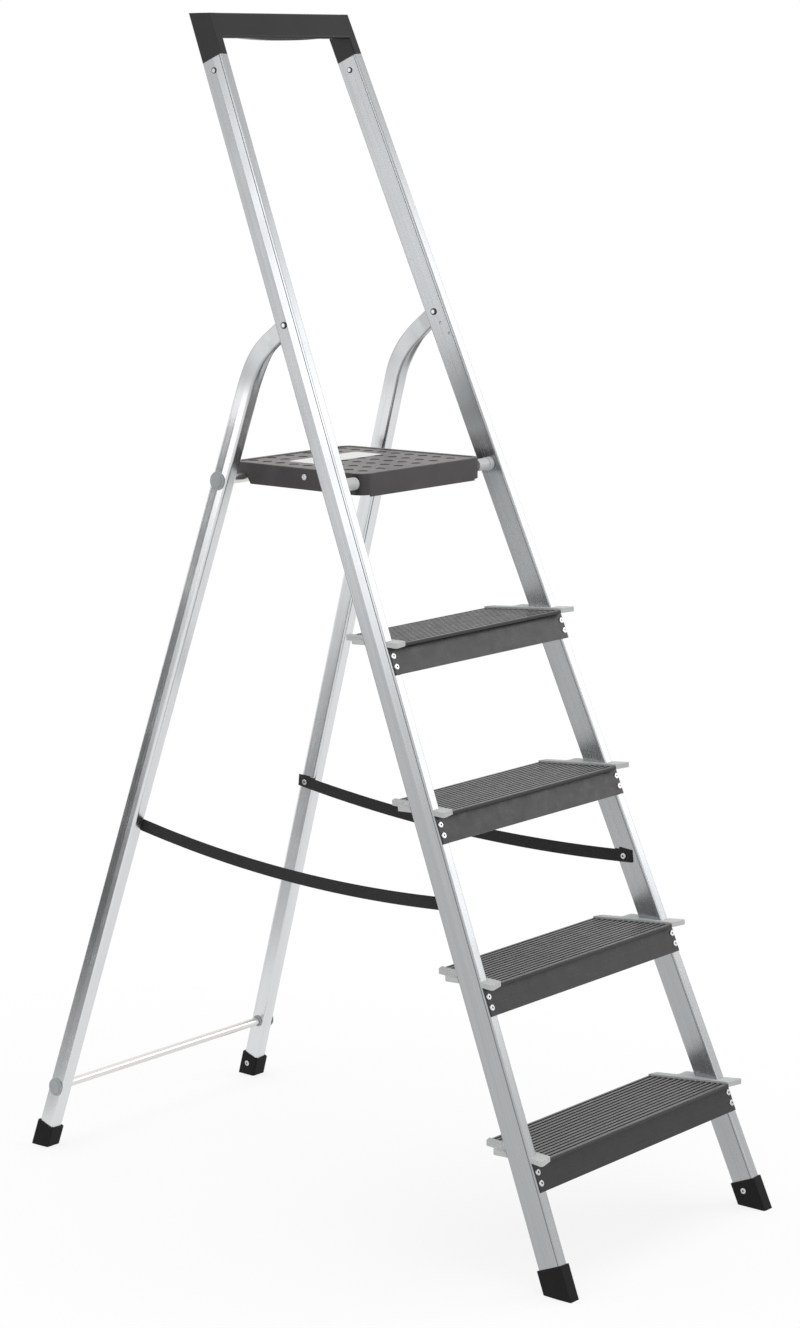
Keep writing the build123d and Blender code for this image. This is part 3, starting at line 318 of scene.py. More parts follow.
def coated_tread():
    """Dark satin coat with lines along X, painted paler on faces whose normal points up: painted sheen and
    wear.
    """
    material, tree, shader = new_finish("coated_tread")
    lines = noise(tree, object_place(tree, stretch=TREAD_STRETCH), scale=1.0, detail=3.0, roughness=0.6)
    scuffs = noise(tree, object_place(tree), scale=60.0, detail=5.0, roughness=0.65)
    shade = add(tree, "ShaderNodeMix", {"Factor": 0.35, "A": lines, "B": scuffs}).outputs["Result"]
    facing = add(tree, "ShaderNodeTexCoord").outputs["Normal"]
    upward = add(tree, "ShaderNodeSeparateXYZ", {"Vector": facing}).outputs["Z"]
    tree.links.new(tint(tree, shade, *TREAD_COAT), shader.inputs["Base Color"])
    # Up-facing faces painted paler: painted sheen, with some wear.
    recolour(material, ramp(tree, upward, 0.0, 1.0, *FACES_UP), tint(tree, shade, *TREAD_SHEEN_AND_WEAR))
    tree.links.new(ramp(tree, scuffs, 0.24, 0.38, start=0.3, end=0.7), shader.inputs["Roughness"])
    tree.links.new(relief(tree, lines, COAT_DEPTH), shader.inputs["Normal"])
    shader.inputs["Specular IOR Level"].default_value = 0.38
    return material


dress(["tread_" + str(number) for number in range(1, 5)], coated_tread())
print("Coat on the treads")

# %% [markdown]
# ## Moulded plastic and rubber
# Moulded pieces copy the mould's fine spark-eroded grain. Cells of noise a fraction of a millimetre wide
# give the grain, and a slower noise keeps large faces from looking painted.

# %% Moulded plastic
def moulded(name, dark, light, rough, grain=1400.0, depth=0.00008, specular=0.5):
    """Grained plastic or rubber."""
    material, tree, shader = new_finish(name)
    place = object_place(tree)
    pits = noise(tree, place, scale=grain, detail=3.0, roughness=0.6)
    flow = noise(tree, place, scale=18.0, detail=3.0)
    tree.links.new(tint(tree, flow, dark, light), shader.inputs["Base Color"])
    tree.links.new(ramp(tree, pits, rough - 0.06, rough + 0.08), shader.inputs["Roughness"])
    tree.links.new(relief(tree, pits, depth), shader.inputs["Normal"])
    shader.inputs["Specular IOR Level"].default_value = specular
    return material


clip_names = [name for name in nodes if "tread_clip" in name]
foot_names = [name for name in nodes if name.endswith("_foot")]
dress(["guard_rail"],
      moulded("rail_plastic", (0.008, 0.0075, 0.008), (0.013, 0.0115, 0.012), 0.34, specular=0.3))
dress(["right_platform_bush", "left_platform_bush"],
      moulded("bush_plastic", (0.48, 0.49, 0.49), (0.56, 0.57, 0.57), 0.42))
dress(clip_names, moulded("clip_plastic", (0.45, 0.47, 0.46), (0.53, 0.55, 0.54), 0.45))
dress(["rest_tube_caps", "cross_bar_caps", "cross_bar_collars"],
      moulded("cap_plastic", (0.30, 0.33, 0.34), (0.37, 0.40, 0.41), 0.42))
dress(foot_names, moulded("foot_rubber", (0.003, 0.003, 0.003), (0.007, 0.0065, 0.006), 0.60,
                          grain=900.0, depth=0.00012, specular=0.18))
print("Clips:", len(clip_names), "feet:", len(foot_names))

# %% [markdown]
# The platform's top is painted a paler warm grey, a painted sheen with some wear, while its round grip
# recesses keep the dark colour as painted shade. Height alone tells the two apart, because the recesses lie
# just below the top.

# %% Platform plastic
DECK_RIM, SHEEN_AND_WEAR_DEPTHS = 0.0010, (0.00032, 0.00008)
DECK_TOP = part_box("platform_deck")[1][2] - DECK_RIM
DECK_PLAIN = ((0.030, 0.0275, 0.027), (0.044, 0.040, 0.039))
DECK_SHEEN_AND_WEAR = ((0.072, 0.063, 0.061), (0.113, 0.101, 0.098))


def deck_plastic():
    """Grained plastic; a paler top of painted sheen and wear comes in between two depths, recesses in painted
    shade.
    """
    material = moulded("deck_plastic", *DECK_PLAIN, 0.40, specular=0.45)
    tree = material.node_tree
    sheen_and_wear = ramp(tree, object_height(tree), 0.0, 1.0, *(DECK_TOP - depth for depth in SHEEN_AND_WEAR_DEPTHS))
    scuffs = noise(tree, object_place(tree), scale=90.0, detail=5.0, roughness=0.65)
    # The top is painted paler (painted sheen and wear); the recesses stay dark as painted shade.
    recolour(material, sheen_and_wear, tint(tree, scuffs, *DECK_SHEEN_AND_WEAR))
    return material


dress(["platform_deck"], deck_plastic())
print("Platform top at", round(DECK_TOP, 4))

# %% [markdown]
# ## Finding the rivets
# The straps hang from rivets, and every open rivet still holds the broken stem of the pin that set it. Both
# need the rivets' places, which are read from the CAD meshes: the vertices of one node are parted by side
# and by height, and the highest ring along a rivet's axis gives the middle of its head.

# %% Rivet heads
RIVET_GAP, HEAD_RING = 0.003, 0.0002


def inward(lean, taper, sign):
    """Unit normal of a tube's inner side, along minus (sign/cos lean, taper sin lean, taper cos lean)."""
    normal = np.array([1 / math.cos(lean), taper * math.sin(lean), taper * math.cos(lean)])
    return -normal / np.linalg.norm(normal) * (sign, 1, 1)


def rivet_heads(node, axis_of_side):
    """The middle of each rivet's head and its axis, right side first and from the lowest up."""
    mesh = nodes[node].data
    points = np.empty(len(mesh.vertices) * 3, dtype=np.float32)
    mesh.vertices.foreach_get("co", points)
    points = points.reshape(-1, 3).astype(float)
    heads = []
    for sign in (1, -1):
        side = points[points[:, 0] * sign > 0]
        side = side[np.argsort(side[:, 2])]
        breaks = np.flatnonzero(np.diff(side[:, 2]) > RIVET_GAP) + 1
        axis = axis_of_side(sign)
        for solid in np.split(side, breaks):
            reach = solid @ axis
            ring = solid[reach > reach.max() - HEAD_RING]
            heads.append(((ring.min(axis=0) + ring.max(axis=0)) / 2, axis))
    return heads


def stile_inward(sign):
    """Normal of a stile's inner side."""
    return inward(STILE_LEAN, SIDE_TAPER["stile"], sign)


def leg_inward(sign):
    """Normal of a rear leg's inner side."""
    return inward(-LEG_LEAN, SIDE_TAPER["leg"], sign)


def climber_side(sign):
    """Normal of the treads' front flange, the same on both sides."""
    return np.array([0.0, -math.cos(STILE_LEAN), math.sin(STILE_LEAN)])


strap_heads = {"front": rivet_heads("front_strap_rivets", stile_inward),
               "rear": rivet_heads("rear_strap_rivets", leg_inward)}
front_heads = (rivet_heads("tread_rivets", climber_side) + rivet_heads("front_foot_rivets", stile_inward)
               + strap_heads["front"])
rear_heads = rivet_heads("rear_foot_rivets", leg_inward) + strap_heads["rear"]
print("Open rivets:", len(front_heads), "on the front frame,", len(rear_heads), "on the rear frame")

# %% [markdown]
# ## Webbing straps
# A strap is a flat woven band, riveted to a stile and a leg, that hangs in a shallow curve between them. Each
# end is folded under once, so that the rivet goes through two layers and the cut edge is hidden. Cloth
# simulation would erase the thin band, so it is worked out directly: a line along the middle of the cloth,
# carried sideways by the strap's width. Solidify gives the thickness of the cloth.

# %% Strap shape
STRAP_WIDTH, STRAP_CLOTH = 0.018, 0.0011
STRAP_END, STRAP_TAIL = 0.013, 0.021
HEAD_TO_TUBE = 0.00453
LAYER_HEIGHTS = (0.00060, 0.00178)
TWIST_SHARE = 0.15
UP = np.array([0.0, 0.0, 1.0])


def unit(vectors):
    """Vectors along the last axis, made one long."""
    return vectors / np.linalg.norm(vectors, axis=-1, keepdims=True)


def grid_mesh(name, points, uv):
    """A mesh from a grid of points with the shape (rows, columns, 3) and a UV for each point."""
    rows, columns = points.shape[:2]
    index = np.arange(rows * columns).reshape(rows, columns)
    corners = np.stack([index[:-1, :-1], index[1:, :-1], index[1:, 1:], index[:-1, 1:]], axis=-1)
    corners = corners.reshape(-1, 4)
    mesh = bpy.data.meshes.new(name)
    mesh.from_pydata(points.reshape(-1, 3).tolist(), [], corners.tolist())
    layer = mesh.uv_layers.new(name="UVMap")
    layer.data.foreach_set("uv", uv.reshape(-1, 2)[corners.reshape(-1)].astype(np.float32).ravel())
    mesh.polygons.foreach_set("use_smooth", np.ones(len(corners), dtype=bool))
    mesh.update()
    return mesh


def folded_end(spot, away, off, skew, steps=9):
    """Middle line and width direction of one end, from its cut edge to the rivet.

    away points from the rivet to the fold and off points from the tube. The line runs out under the strap by
    the tail's length, turns by half a circle, and comes back to the rivet by the length of the end."""
    gap = (LAYER_HEIGHTS[1] - LAYER_HEIGHTS[0]) / 2
    turn = spot + STRAP_END * away - gap * off
    across = unit(UP - (UP @ off) * off - (UP @ away) * away)
    back = np.linspace(STRAP_TAIL, 0, steps)[:, None]
    tail = turn - gap * off - back * unit(away + skew * across)
    angle = np.linspace(math.pi, 0, steps)[1:-1, None]
    fold = turn + gap * (np.cos(angle) * off + np.sin(angle) * away)
    over = spot + np.linspace(STRAP_END, 0, steps)[:-1, None] * away
    return np.concatenate([tail, fold, over]), across


def strap_points(front, rear, front_off, rear_off, sag, skew, rows=150, columns=9):
    """The band: front + t (rear - front) + 4 t (t - 1) sag up between the rivets, with a folded end at each.

    Over the first and last TWIST_SHARE of t its width turns from lying on the tube to hanging upright."""
    t = np.linspace(0, 1, rows)[:, None]
    hang = front + t * (rear - front) + 4 * t * (t - 1) * sag * UP
    leave = unit(np.stack([hang[0] - hang[1], hang[-1] - hang[-2]]))
    away_front = unit(leave[0] - (leave[0] @ front_off) * front_off)
    away_rear = unit(leave[1] - (leave[1] @ rear_off) * rear_off)
    front_line, front_across = folded_end(front, away_front, front_off, skew[0])
    rear_line, rear_across = folded_end(rear, away_rear, rear_off, skew[1])
    along = unit(np.gradient(hang, axis=0))
    hanging = unit(UP - (along @ UP)[:, None] * along)
    ends = (1 - t) * front_across + t * rear_across
    share = np.clip(np.minimum(t, 1 - t) / TWIST_SHARE, 0, 1)
    share = share * share * (3 - 2 * share)
    across = unit((1 - share) * ends + share * hanging)
    line = np.concatenate([front_line, hang, rear_line[::-1]])
    across = np.concatenate([np.broadcast_to(front_across, front_line.shape), across,
                             np.broadcast_to(rear_across, rear_line.shape)])
    v = np.linspace(-0.5, 0.5, columns)
    points = line[:, None] + v[None, :, None] * STRAP_WIDTH * across[:, None]
    length = np.concatenate([[0], np.cumsum(np.linalg.norm(np.diff(line, axis=0), axis=1))])
    uv = np.stack(np.broadcast_arrays(length[:, None], (v * STRAP_WIDTH)[None, :]), axis=-1)
    return points, uv, float(length[-1])


print("Strap curve ready")

# %% [markdown]
# The weave is drawn in the band's own UV map, which holds metres along and across the strap: short bars
# for the weft, broken into rows by the warp yarns.

# %% Strap webbing
WEFT_PITCH, WARP_PITCH, YARN_DEPTH = 0.0011, 0.0015, 0.00018
WEBBING_TONES = ((0.010, 0.010, 0.010), (0.026, 0.025, 0.025))


def wave(tree, place, pitch):
    """Sine wave with a pitch in metres: sin(2 pi place / pitch)."""
    turns = add(tree, "ShaderNodeMath", {0: place, 1: math.tau / pitch}, operation="MULTIPLY").outputs[0]
    return add(tree, "ShaderNodeMath", {0: turns}, operation="SINE").outputs[0]


def webbing():
    """Dark ribbed weave: the product of a wave along the strap and one across it, with fuzz."""
    material, tree, shader = new_finish("strap_webbing")
    place = add(tree, "ShaderNodeTexCoord").outputs["UV"]
    axes = add(tree, "ShaderNodeSeparateXYZ", {"Vector": place}).outputs
    weft, warp = wave(tree, axes["X"], WEFT_PITCH), wave(tree, axes["Y"], WARP_PITCH)
    yarn = add(tree, "ShaderNodeMath", {0: weft, 1: warp}, operation="MULTIPLY").outputs[0]
    fuzz = noise(tree, object_place(tree), scale=900.0, detail=4.0, roughness=0.6)
    tone = add(tree, "ShaderNodeMath", {0: yarn, 1: fuzz}, operation="ADD").outputs[0]
    shade = ramp(tree, tone, 0.0, 1.0, start=-0.6, end=1.4)
    tree.links.new(tint(tree, shade, *WEBBING_TONES), shader.inputs["Base Color"])
    tree.links.new(ramp(tree, fuzz, 0.68, 0.88), shader.inputs["Roughness"])
    tree.links.new(relief(tree, yarn, YARN_DEPTH), shader.inputs["Normal"])
    shader.inputs["Sheen Weight"].default_value = 0.08
    shader.inputs["Specular IOR Level"].default_value = 0.25
    return material


strap_finish = webbing()
print("Webbing ready")

# %% [markdown]
# The two straps hang a little differently, as cloth does: the left one is longer and dips further, and no
# folded tail lies quite straight behind its strap.

# %% Straps
STRAP_SAG = {"right": 0.016, "left": 0.020}
STRAP_LIFT = {"right": 0.0, "left": 0.0045}
TAIL_SKEW = {"right": (-0.16, -0.08), "left": (0.10, -0.24)}


def solid_cloth(piece, thickness):
    """Gives a surface the thickness of its cloth, half to each side."""
    wall = piece.modifiers.new("cloth", "SOLIDIFY")
    wall.thickness = thickness
    wall.offset = 0.0


def place_piece(name, mesh, finish):
    """Puts a finished mesh into the scene at the origin."""
    piece = bpy.data.objects.new(name, mesh)
    scene.collection.objects.link(piece)
    piece.data.materials.append(finish)
    return piece


for number, side in enumerate(("right", "left")):
    (front, front_off), (rear, rear_off) = strap_heads["front"][number], strap_heads["rear"][number]
    lift = STRAP_LIFT[side] * UP
    front = front - (HEAD_TO_TUBE - LAYER_HEIGHTS[1]) * front_off + lift
    rear = rear - (HEAD_TO_TUBE - LAYER_HEIGHTS[1]) * rear_off + lift
    points, uv, length = strap_points(front, rear, front_off, rear_off, STRAP_SAG[side], TAIL_SKEW[side])
    strap = place_piece(side + "_webbing", grid_mesh(side + "_webbing", points, uv), strap_finish)
    solid_cloth(strap, STRAP_CLOTH)
    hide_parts(side + "_strap")
    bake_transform(strap)
    print(side, "strap length:", round(length, 3))

# %% [markdown]
# ## Bent rear legs
# Each rear leg is one drawn tube. Above the platform it bends forward and is pinched flat, so that its end
# can swing in a slot of the stile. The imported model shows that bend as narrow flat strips. Here the tube's
# outline is carried along a slightly wider bend on a fine grid, so that light runs round it without steps and
# the drawn lines follow it. The path comes first: a straight run from the foot, an arc, and a straight end
# with a round tip.

# %% Leg path
LEG_WIDTH, LEG_DEPTH, LEG_CORNER, LEG_FOOT = 0.0216, 0.0276, 0.0040, (0.2401, 0.481375, 0.0)
TONGUE_WIDTH, TONGUE_DEPTH, TONGUE_CORNER = 0.0100, 0.0260, 0.0024
HINGE, HINGE_AHEAD, END_LEAN = (0.163999, 0.040658, 1.2633), 0.0456, math.radians(52.0)
BEND_RADIUS, BEND_DENT = 0.165, 0.0040
FIRST_RING, LAST_RING, TIP_TURN = 0.012, 0.003, 1.48


def ease(share):
    """Smooth rise from 0 to 1 between shares 0 and 1: 6 s^5 - 15 s^4 + 10 s^3."""
    share = np.clip(share, 0, 1)
    return share ** 3 * (10 - 15 * share + 6 * share ** 2)


def leg_path(bend_rows=81, flat_rows=9, tip_rows=9):
    """The right leg's middle line, direction, lean, share of the bend, and reach into the round tip.

    The bend is a circle in YZ. Its X is the cubic that starts with the leg's taper and ends with the stile's.
    A ring near each end of the straight run keeps the shading of the foot's cut and of the bend off it."""
    axis = unit(np.array([-SIDE_TAPER["leg"], -math.tan(LEG_LEAN), 1.0]))
    back = np.array([0.0, math.cos(LEG_LEAN), math.sin(LEG_LEAN)])
    across = unit(np.cross(back, axis))
    foot = LEG_FOOT - across * LEG_WIDTH / 2 + np.cross(axis, across) * LEG_DEPTH / 2
    turn = END_LEAN - LEG_LEAN
    reach, tangent = HINGE_AHEAD / math.sin(turn), BEND_RADIUS * math.tan(turn / 2)
    flat, arc = reach - tangent, BEND_RADIUS * turn
    rise = HINGE[2] - reach * math.cos(END_LEAN) - tangent * math.cos(LEG_LEAN) - foot[2]
    start = foot + axis * rise / axis[2]
    share = np.linspace(0, 1, bend_rows)
    lean = LEG_LEAN + turn * share
    end_x = HINGE[0] + SIDE_TAPER["stile"] * flat
    first, last = -SIDE_TAPER["leg"] * math.cos(LEG_LEAN) * arc, -SIDE_TAPER["stile"] * arc
    shift = end_x - start[0]
    square, cube = 3 * shift - 2 * first - last, first + last - 2 * shift
    x = start[0] + first * share + square * share ** 2 + cube * share ** 3
    slope = first + 2 * square * share + 3 * cube * share ** 2
    bend = np.stack([x, start[1] + BEND_RADIUS * (np.cos(lean) - math.cos(LEG_LEAN)),
                     start[2] + BEND_RADIUS * (np.sin(lean) - math.sin(LEG_LEAN))], axis=-1)
    bend_along = unit(np.stack([slope / arc, -np.sin(lean), np.cos(lean)], axis=-1))
    tip = TONGUE_DEPTH / 2 * np.sin(np.linspace(0, TIP_TURN, tip_rows))
    beyond = np.concatenate([np.linspace(0, flat, flat_rows)[1:-1], flat + tip])
    straight = [foot, foot + FIRST_RING * axis, start - LAST_RING * axis]
    line = np.concatenate([straight, bend, bend[-1] + beyond[:, None] * bend_along[-1]])
    along = np.concatenate([[axis] * len(straight), bend_along,
                            np.broadcast_to(bend_along[-1], (len(beyond), 3))])
    lean = np.concatenate([[LEG_LEAN] * len(straight), lean, [END_LEAN] * len(beyond)])
    share = np.concatenate([[0] * len(straight), share, 1 + beyond / arc])
    tip = np.concatenate([np.zeros(len(line) - tip_rows), tip])
    return line, along, lean, share, tip


print("Leg path rows:", len(leg_path()[0]))

# %% [markdown]
# The outline is a rectangle with round corners. The front share of its outer side slopes in, which gives the
# tube the bright line along it. From about a third of the way round the bend the press squeezes it flat. It
# reaches the hollow side first, so the flat end begins at a slanting crease, and the hollow side is dented.

# %% Rear legs
FACET_SHARE, FACET_SLOPE, FOOT_CUT = 0.42, 0.08, 0.00415
PINCH_START, PINCH_END, PINCH_SKEW, CORNER_LIMIT = 0.30, 0.88, 0.11, 0.4
SIDE_STEPS = np.array([0.0, 0.03, 0.97])
FRONT_STEPS = np.concatenate([[0.0, 0.03], np.linspace(0.08, 0.92, 13), [0.97]])
CORNER_STEPS = np.linspace(0, math.pi / 2, 8)[:-1]


def leg_outline(width, depth, corner, dent, slope):
    """Outlines as (rows, points): straight sides, quarter circles, and a front dented by 16 t^2 (1 - t)^2."""
    x, y = width / 2, depth / 2
    flat_x, flat_y, run = x - corner, y - corner, FACET_SHARE * depth
    drop = slope * (run - corner)
    sine, cosine = corner * np.sin(CORNER_STEPS), corner * np.cos(CORNER_STEPS)
    front, side = FRONT_STEPS, SIDE_STEPS
    zeros = np.zeros((len(depth), len(side)))
    across = [-flat_x + front * (2 * flat_x - drop), flat_x - drop + sine, x - drop * (1 - side), x + zeros,
              flat_x + cosine, flat_x * (1 - 2 * side), -flat_x - sine, -x + zeros, -flat_x - cosine]
    back = [-y + dent * 16 * (front * (1 - front)) ** 2, -flat_y - cosine,
            -flat_y + side * (run - y + flat_y), run - y + side * (flat_y - run + y), flat_y + sine,
            y + zeros, flat_y + cosine, flat_y * (1 - 2 * side), -flat_y - sine]
    return np.concatenate(across, axis=1), np.concatenate(back, axis=1)


def leg_points():
    """The right leg: middle line + a across + b back, with the lowest ring slid along the leg to a level cut.

    The pinch narrows a by the square of the share of the bend that is past its start, less at the back."""
    line, along, lean, share, tip = leg_path()
    squeeze = ease((share - PINCH_START) / (PINCH_END - PINCH_START))[:, None]
    depth = LEG_DEPTH + (TONGUE_DEPTH - LEG_DEPTH) * squeeze
    depth = 2 * np.sqrt((depth / 2) ** 2 - tip[:, None] ** 2)
    corner = np.minimum(LEG_CORNER + (TONGUE_CORNER - LEG_CORNER) * squeeze, CORNER_LIMIT * depth)
    dent = BEND_DENT * (4 * share * np.clip(1 - share, 0, 1))[:, None] ** 2
    a, b = leg_outline(LEG_WIDTH, depth, corner, dent, FACET_SLOPE * (1 - squeeze))
    past = share[:, None] - PINCH_SKEW * b / (LEG_DEPTH / 2) - PINCH_START
    a *= 1 + (TONGUE_WIDTH / LEG_WIDTH - 1) * np.clip(past / (PINCH_END - PINCH_START), 0, 1) ** 2
    backward = np.stack([np.zeros_like(lean), np.cos(lean), np.sin(lean)], axis=-1)
    across = unit(np.cross(backward, along))
    points = line[:, None] + a[..., None] * across[:, None] + b[..., None] * np.cross(along, across)[:, None]
    points[0] += (FOOT_CUT - points[0, :, 2:]) / along[0, 2] * along[0]
    length = np.concatenate([[0], np.cumsum(np.linalg.norm(np.diff(line, axis=0), axis=1))])
    return points, length


def tube_mesh(name, points, length):
    """A closed tube from rings of points, with UV in metres round and along it."""
    rows, columns = points.shape[:2]
    ring = np.linalg.norm(np.diff(points[1], axis=0, append=points[1, :1]), axis=1)
    around = np.concatenate([[0], np.cumsum(ring)])
    steps = np.meshgrid(np.arange(rows - 1), np.arange(columns), indexing="ij")
    row, column = (step.ravel() for step in steps)
    corner_rows = np.stack([row, row, row + 1, row + 1], axis=-1)
    corner_columns = np.stack([column, column + 1, column + 1, column], axis=-1)
    walls = corner_rows * columns + corner_columns % columns
    lower, upper = np.arange(columns)[::-1], (rows - 1) * columns + np.arange(columns)
    mesh = bpy.data.meshes.new(name)
    mesh.from_pydata(points.reshape(-1, 3).tolist(), [], walls.tolist() + [lower.tolist(), upper.tolist()])
    uv = np.concatenate([np.stack([around[corner_columns], length[corner_rows]], axis=-1).reshape(-1, 2),
                         np.zeros((2 * columns, 2))])
    mesh.uv_layers.new(name="UVMap").data.foreach_set("uv", uv.astype(np.float32).ravel())
    mesh.polygons.foreach_set("use_smooth", np.arange(len(walls) + 2) < len(walls))
    mesh.update()
    return mesh


right_leg, leg_length = leg_points()
left_leg = right_leg[:, ::-1] * (-1, 1, 1)
for side, points in (("right", right_leg), ("left", left_leg)):
    leg = place_piece(side + "_bent_leg", tube_mesh(side + "_bent_leg", points, leg_length), leg_lit_and_shaded_finish)
    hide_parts(side + "_rear_leg")
    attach(leg, "rear_frame")
    low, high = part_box(side + "_rear_leg")
    corners = points.reshape(-1, 3)
    apart = np.array([corners.min(axis=0) - low, corners.max(axis=0) - high])
    print(side, "leg box against the CAD leg's:", apart.round(4).tolist())

# %% [markdown]
# ## Rivet stems
# Pulling a blind rivet breaks its steel pin inside the hollow head, which leaves a slightly rough end in
# the hole. The pin is coloured near-black, a painted shade inside the hole. Each stem is a small turned
# piece: a profile of radius and depth, carried round the axis.

# %% Rivet stems
STEM_RADII = np.array([0.00062, 0.00118, 0.00142, 0.00142])
STEM_DEPTHS = np.array([0.00038, 0.00050, 0.00078, 0.0030])
STEM_TIP, STEM_SIDES = 0.00046, 14
# Near-black stem colour: painted shade inside the rivet hole, over the steel pin's own colour.
STEM_SHADE_METAL = ((0.020, 0.020, 0.021), (0.060, 0.060, 0.062), 0.45)


def turned_stems(name, heads):
    """One mesh of stems: rings head - depth axis + radius (cos a, sin a), closed by a point at each end."""
    middles, axes = (np.array(values) for values in zip(*heads))
    first = unit(np.cross(axes, np.where(np.abs(axes[:, :1]) > 0.5, UP, (1.0, 0.0, 0.0))))
    second = np.cross(axes, first)
    angle = np.linspace(0, math.tau, STEM_SIDES, endpoint=False)
    spokes = np.cos(angle)[None, :, None] * first[:, None] + np.sin(angle)[None, :, None] * second[:, None]
    rings = (middles[:, None, None] - STEM_DEPTHS[None, :, None, None] * axes[:, None, None]
             + STEM_RADII[None, :, None, None] * spokes[:, None])
    tips = middles - STEM_TIP * axes
    ends = middles - STEM_DEPTHS[-1] * axes
    points = np.concatenate([tips[:, None], rings.reshape(len(middles), -1, 3), ends[:, None]], axis=1)
    ring = 1 + np.arange(len(STEM_RADII) * STEM_SIDES).reshape(len(STEM_RADII), STEM_SIDES)
    following = np.roll(ring, -1, axis=1)
    walls = np.stack([ring[:-1], ring[1:], following[1:], following[:-1]], axis=-1).reshape(-1, 4)
    top = np.stack([np.zeros(STEM_SIDES, int), ring[0], following[0]], axis=-1)
    bottom = np.stack([np.full(STEM_SIDES, points.shape[1] - 1), following[-1], ring[-1]], axis=-1)
    shift = np.arange(len(middles))[:, None, None] * points.shape[1]
    faces = []
    for part in (walls, top, bottom):
        faces += (part[None] + shift).reshape(-1, part.shape[1]).tolist()
    mesh = bpy.data.meshes.new(name)
    mesh.from_pydata(points.reshape(-1, 3).tolist(), [], faces)
    mesh.update()
    return mesh


stem_shade_finish = small_metal("stem_shade_steel", *STEM_SHADE_METAL)
for name, heads, body in (("front_rivet_stems", front_heads, "front_frame"),
                          ("rear_rivet_stems", rear_heads, "rear_frame")):
    stems = place_piece(name, turned_stems(name, heads), stem_shade_finish)
    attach(stems, body)
    print(name, len(heads))

# %% [markdown]
# ## A plain label
# A white paper label lies on the platform, and it stays blank. It is a thin sheet with rounded corners: a
# grid of points over a square, drawn in towards the corners along a superellipse.

# %% Label
LABEL_MIDDLE, LABEL_HALF, LABEL_HEIGHT = (0.0, 0.098), (0.075, 0.027), 0.00012
PAPER_TONES, FIBRE_DEPTH = ((0.72, 0.72, 0.71), (0.80, 0.80, 0.79)), 0.00002


def label_points(count=25, power=14.0):
    """Grid over a square, each ray shortened so that its end lies on |x|^power + |y|^power = 1."""
    u, v = np.meshgrid(np.linspace(-1, 1, count), np.linspace(-1, 1, count), indexing="ij")
    largest = np.maximum(np.abs(u), np.abs(v))
    norm = (np.abs(u) ** power + np.abs(v) ** power) ** (1 / power)
    shrink = np.where(norm > 0, largest / np.maximum(norm, 1e-9), 1.0)
    x = LABEL_MIDDLE[0] + LABEL_HALF[0] * u * shrink
    y = LABEL_MIDDLE[1] + LABEL_HALF[1] * v * shrink
    z = np.full_like(x, DECK_TOP + LABEL_HEIGHT)
    return np.stack([x, y, z], axis=-1), np.stack([u, v], axis=-1)


def label_paper():
    """Matt white paper with faint fibres."""
    material, tree, shader = new_finish("label_paper")
    fibres = noise(tree, object_place(tree, stretch=(1, 3, 1)), scale=900.0, detail=4.0, roughness=0.6)
    tree.links.new(tint(tree, fibres, *PAPER_TONES), shader.inputs["Base Color"])
    tree.links.new(ramp(tree, fibres, 0.45, 0.6), shader.inputs["Roughness"])
    tree.links.new(relief(tree, fibres, FIBRE_DEPTH), shader.inputs["Normal"])
    return material


label_grid, label_uv = label_points()
label = place_piece("blank_label", grid_mesh("blank_label", label_grid, label_uv), label_paper())
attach(label, "platform")
print("Label at height", round(float(label_grid[0, 0, 2]), 4))

# %% [markdown]
# ## Floor, world and lamps
# The ladder stands in a white studio. A real studio paper curves up behind the object, so no horizon
# shows. Here the floor stays flat and pale near the feet, where it takes a faint soft shadow, and fades
# with distance into the plain white that the world shows to the camera and in reflections.

# %% Studio floor
FLOOR_HALF, FLOOR_DROP, FLOOR_SHADE = 30, 0.0005, (0.94, 0.94, 0.94, 1.0)
FADE_START, FADE_END, FADE_SHAPE, FLOOR_LIFT = 0.45, 1.05, (1.0, 0.75, 0.0), 0.82


def seen_directly(tree):
    """1 for rays from the camera, in reflections and through glass; 0 for light that falls on a surface."""
    rays = add(tree, "ShaderNodeLightPath").outputs
    seen = rays["Is Camera Ray"]
    for kind in ("Is Glossy Ray", "Is Transmission Ray"):
        seen = add(tree, "ShaderNodeMath", {0: seen, 1: rays[kind]}, operation="MAXIMUM").outputs[0]
    return seen


floor_mesh = bpy.data.meshes.new("floor")
floor_corners = [(x * FLOOR_HALF, y * FLOOR_HALF, 0) for x, y in ((-1, -1), (1, -1), (1, 1), (-1, 1))]
floor_mesh.from_pydata(floor_corners, [], [(0, 1, 2, 3)])
floor = bpy.data.objects.new("floor", floor_mesh)
floor.location.z = -FLOOR_DROP
scene.collection.objects.link(floor)
floor_finish, floor_tree, floor_shader = new_finish("studio_floor")
floor_shader.inputs["Base Color"].default_value = FLOOR_SHADE
floor_shader.inputs["Roughness"].default_value = 0.9
floor_shader.inputs["Specular IOR Level"].default_value = 0.0
place = add(floor_tree, "ShaderNodeTexCoord").outputs["Object"]
shaped = add(floor_tree, "ShaderNodeVectorMath", {0: place, 1: FADE_SHAPE}, operation="MULTIPLY").outputs[0]
distance = add(floor_tree, "ShaderNodeVectorMath", {0: shaped}, operation="LENGTH").outputs["Value"]
fade_sockets = {"Value": distance, "From Min": FADE_START, "From Max": FADE_END, "To Min": FLOOR_LIFT}
fade = add(floor_tree, "ShaderNodeMapRange", fade_sockets, interpolation_type="SMOOTHSTEP").outputs["Result"]
seen = seen_directly(floor_tree)
fade = add(floor_tree, "ShaderNodeMath", {0: fade, 1: seen}, operation="MULTIPLY").outputs[0]
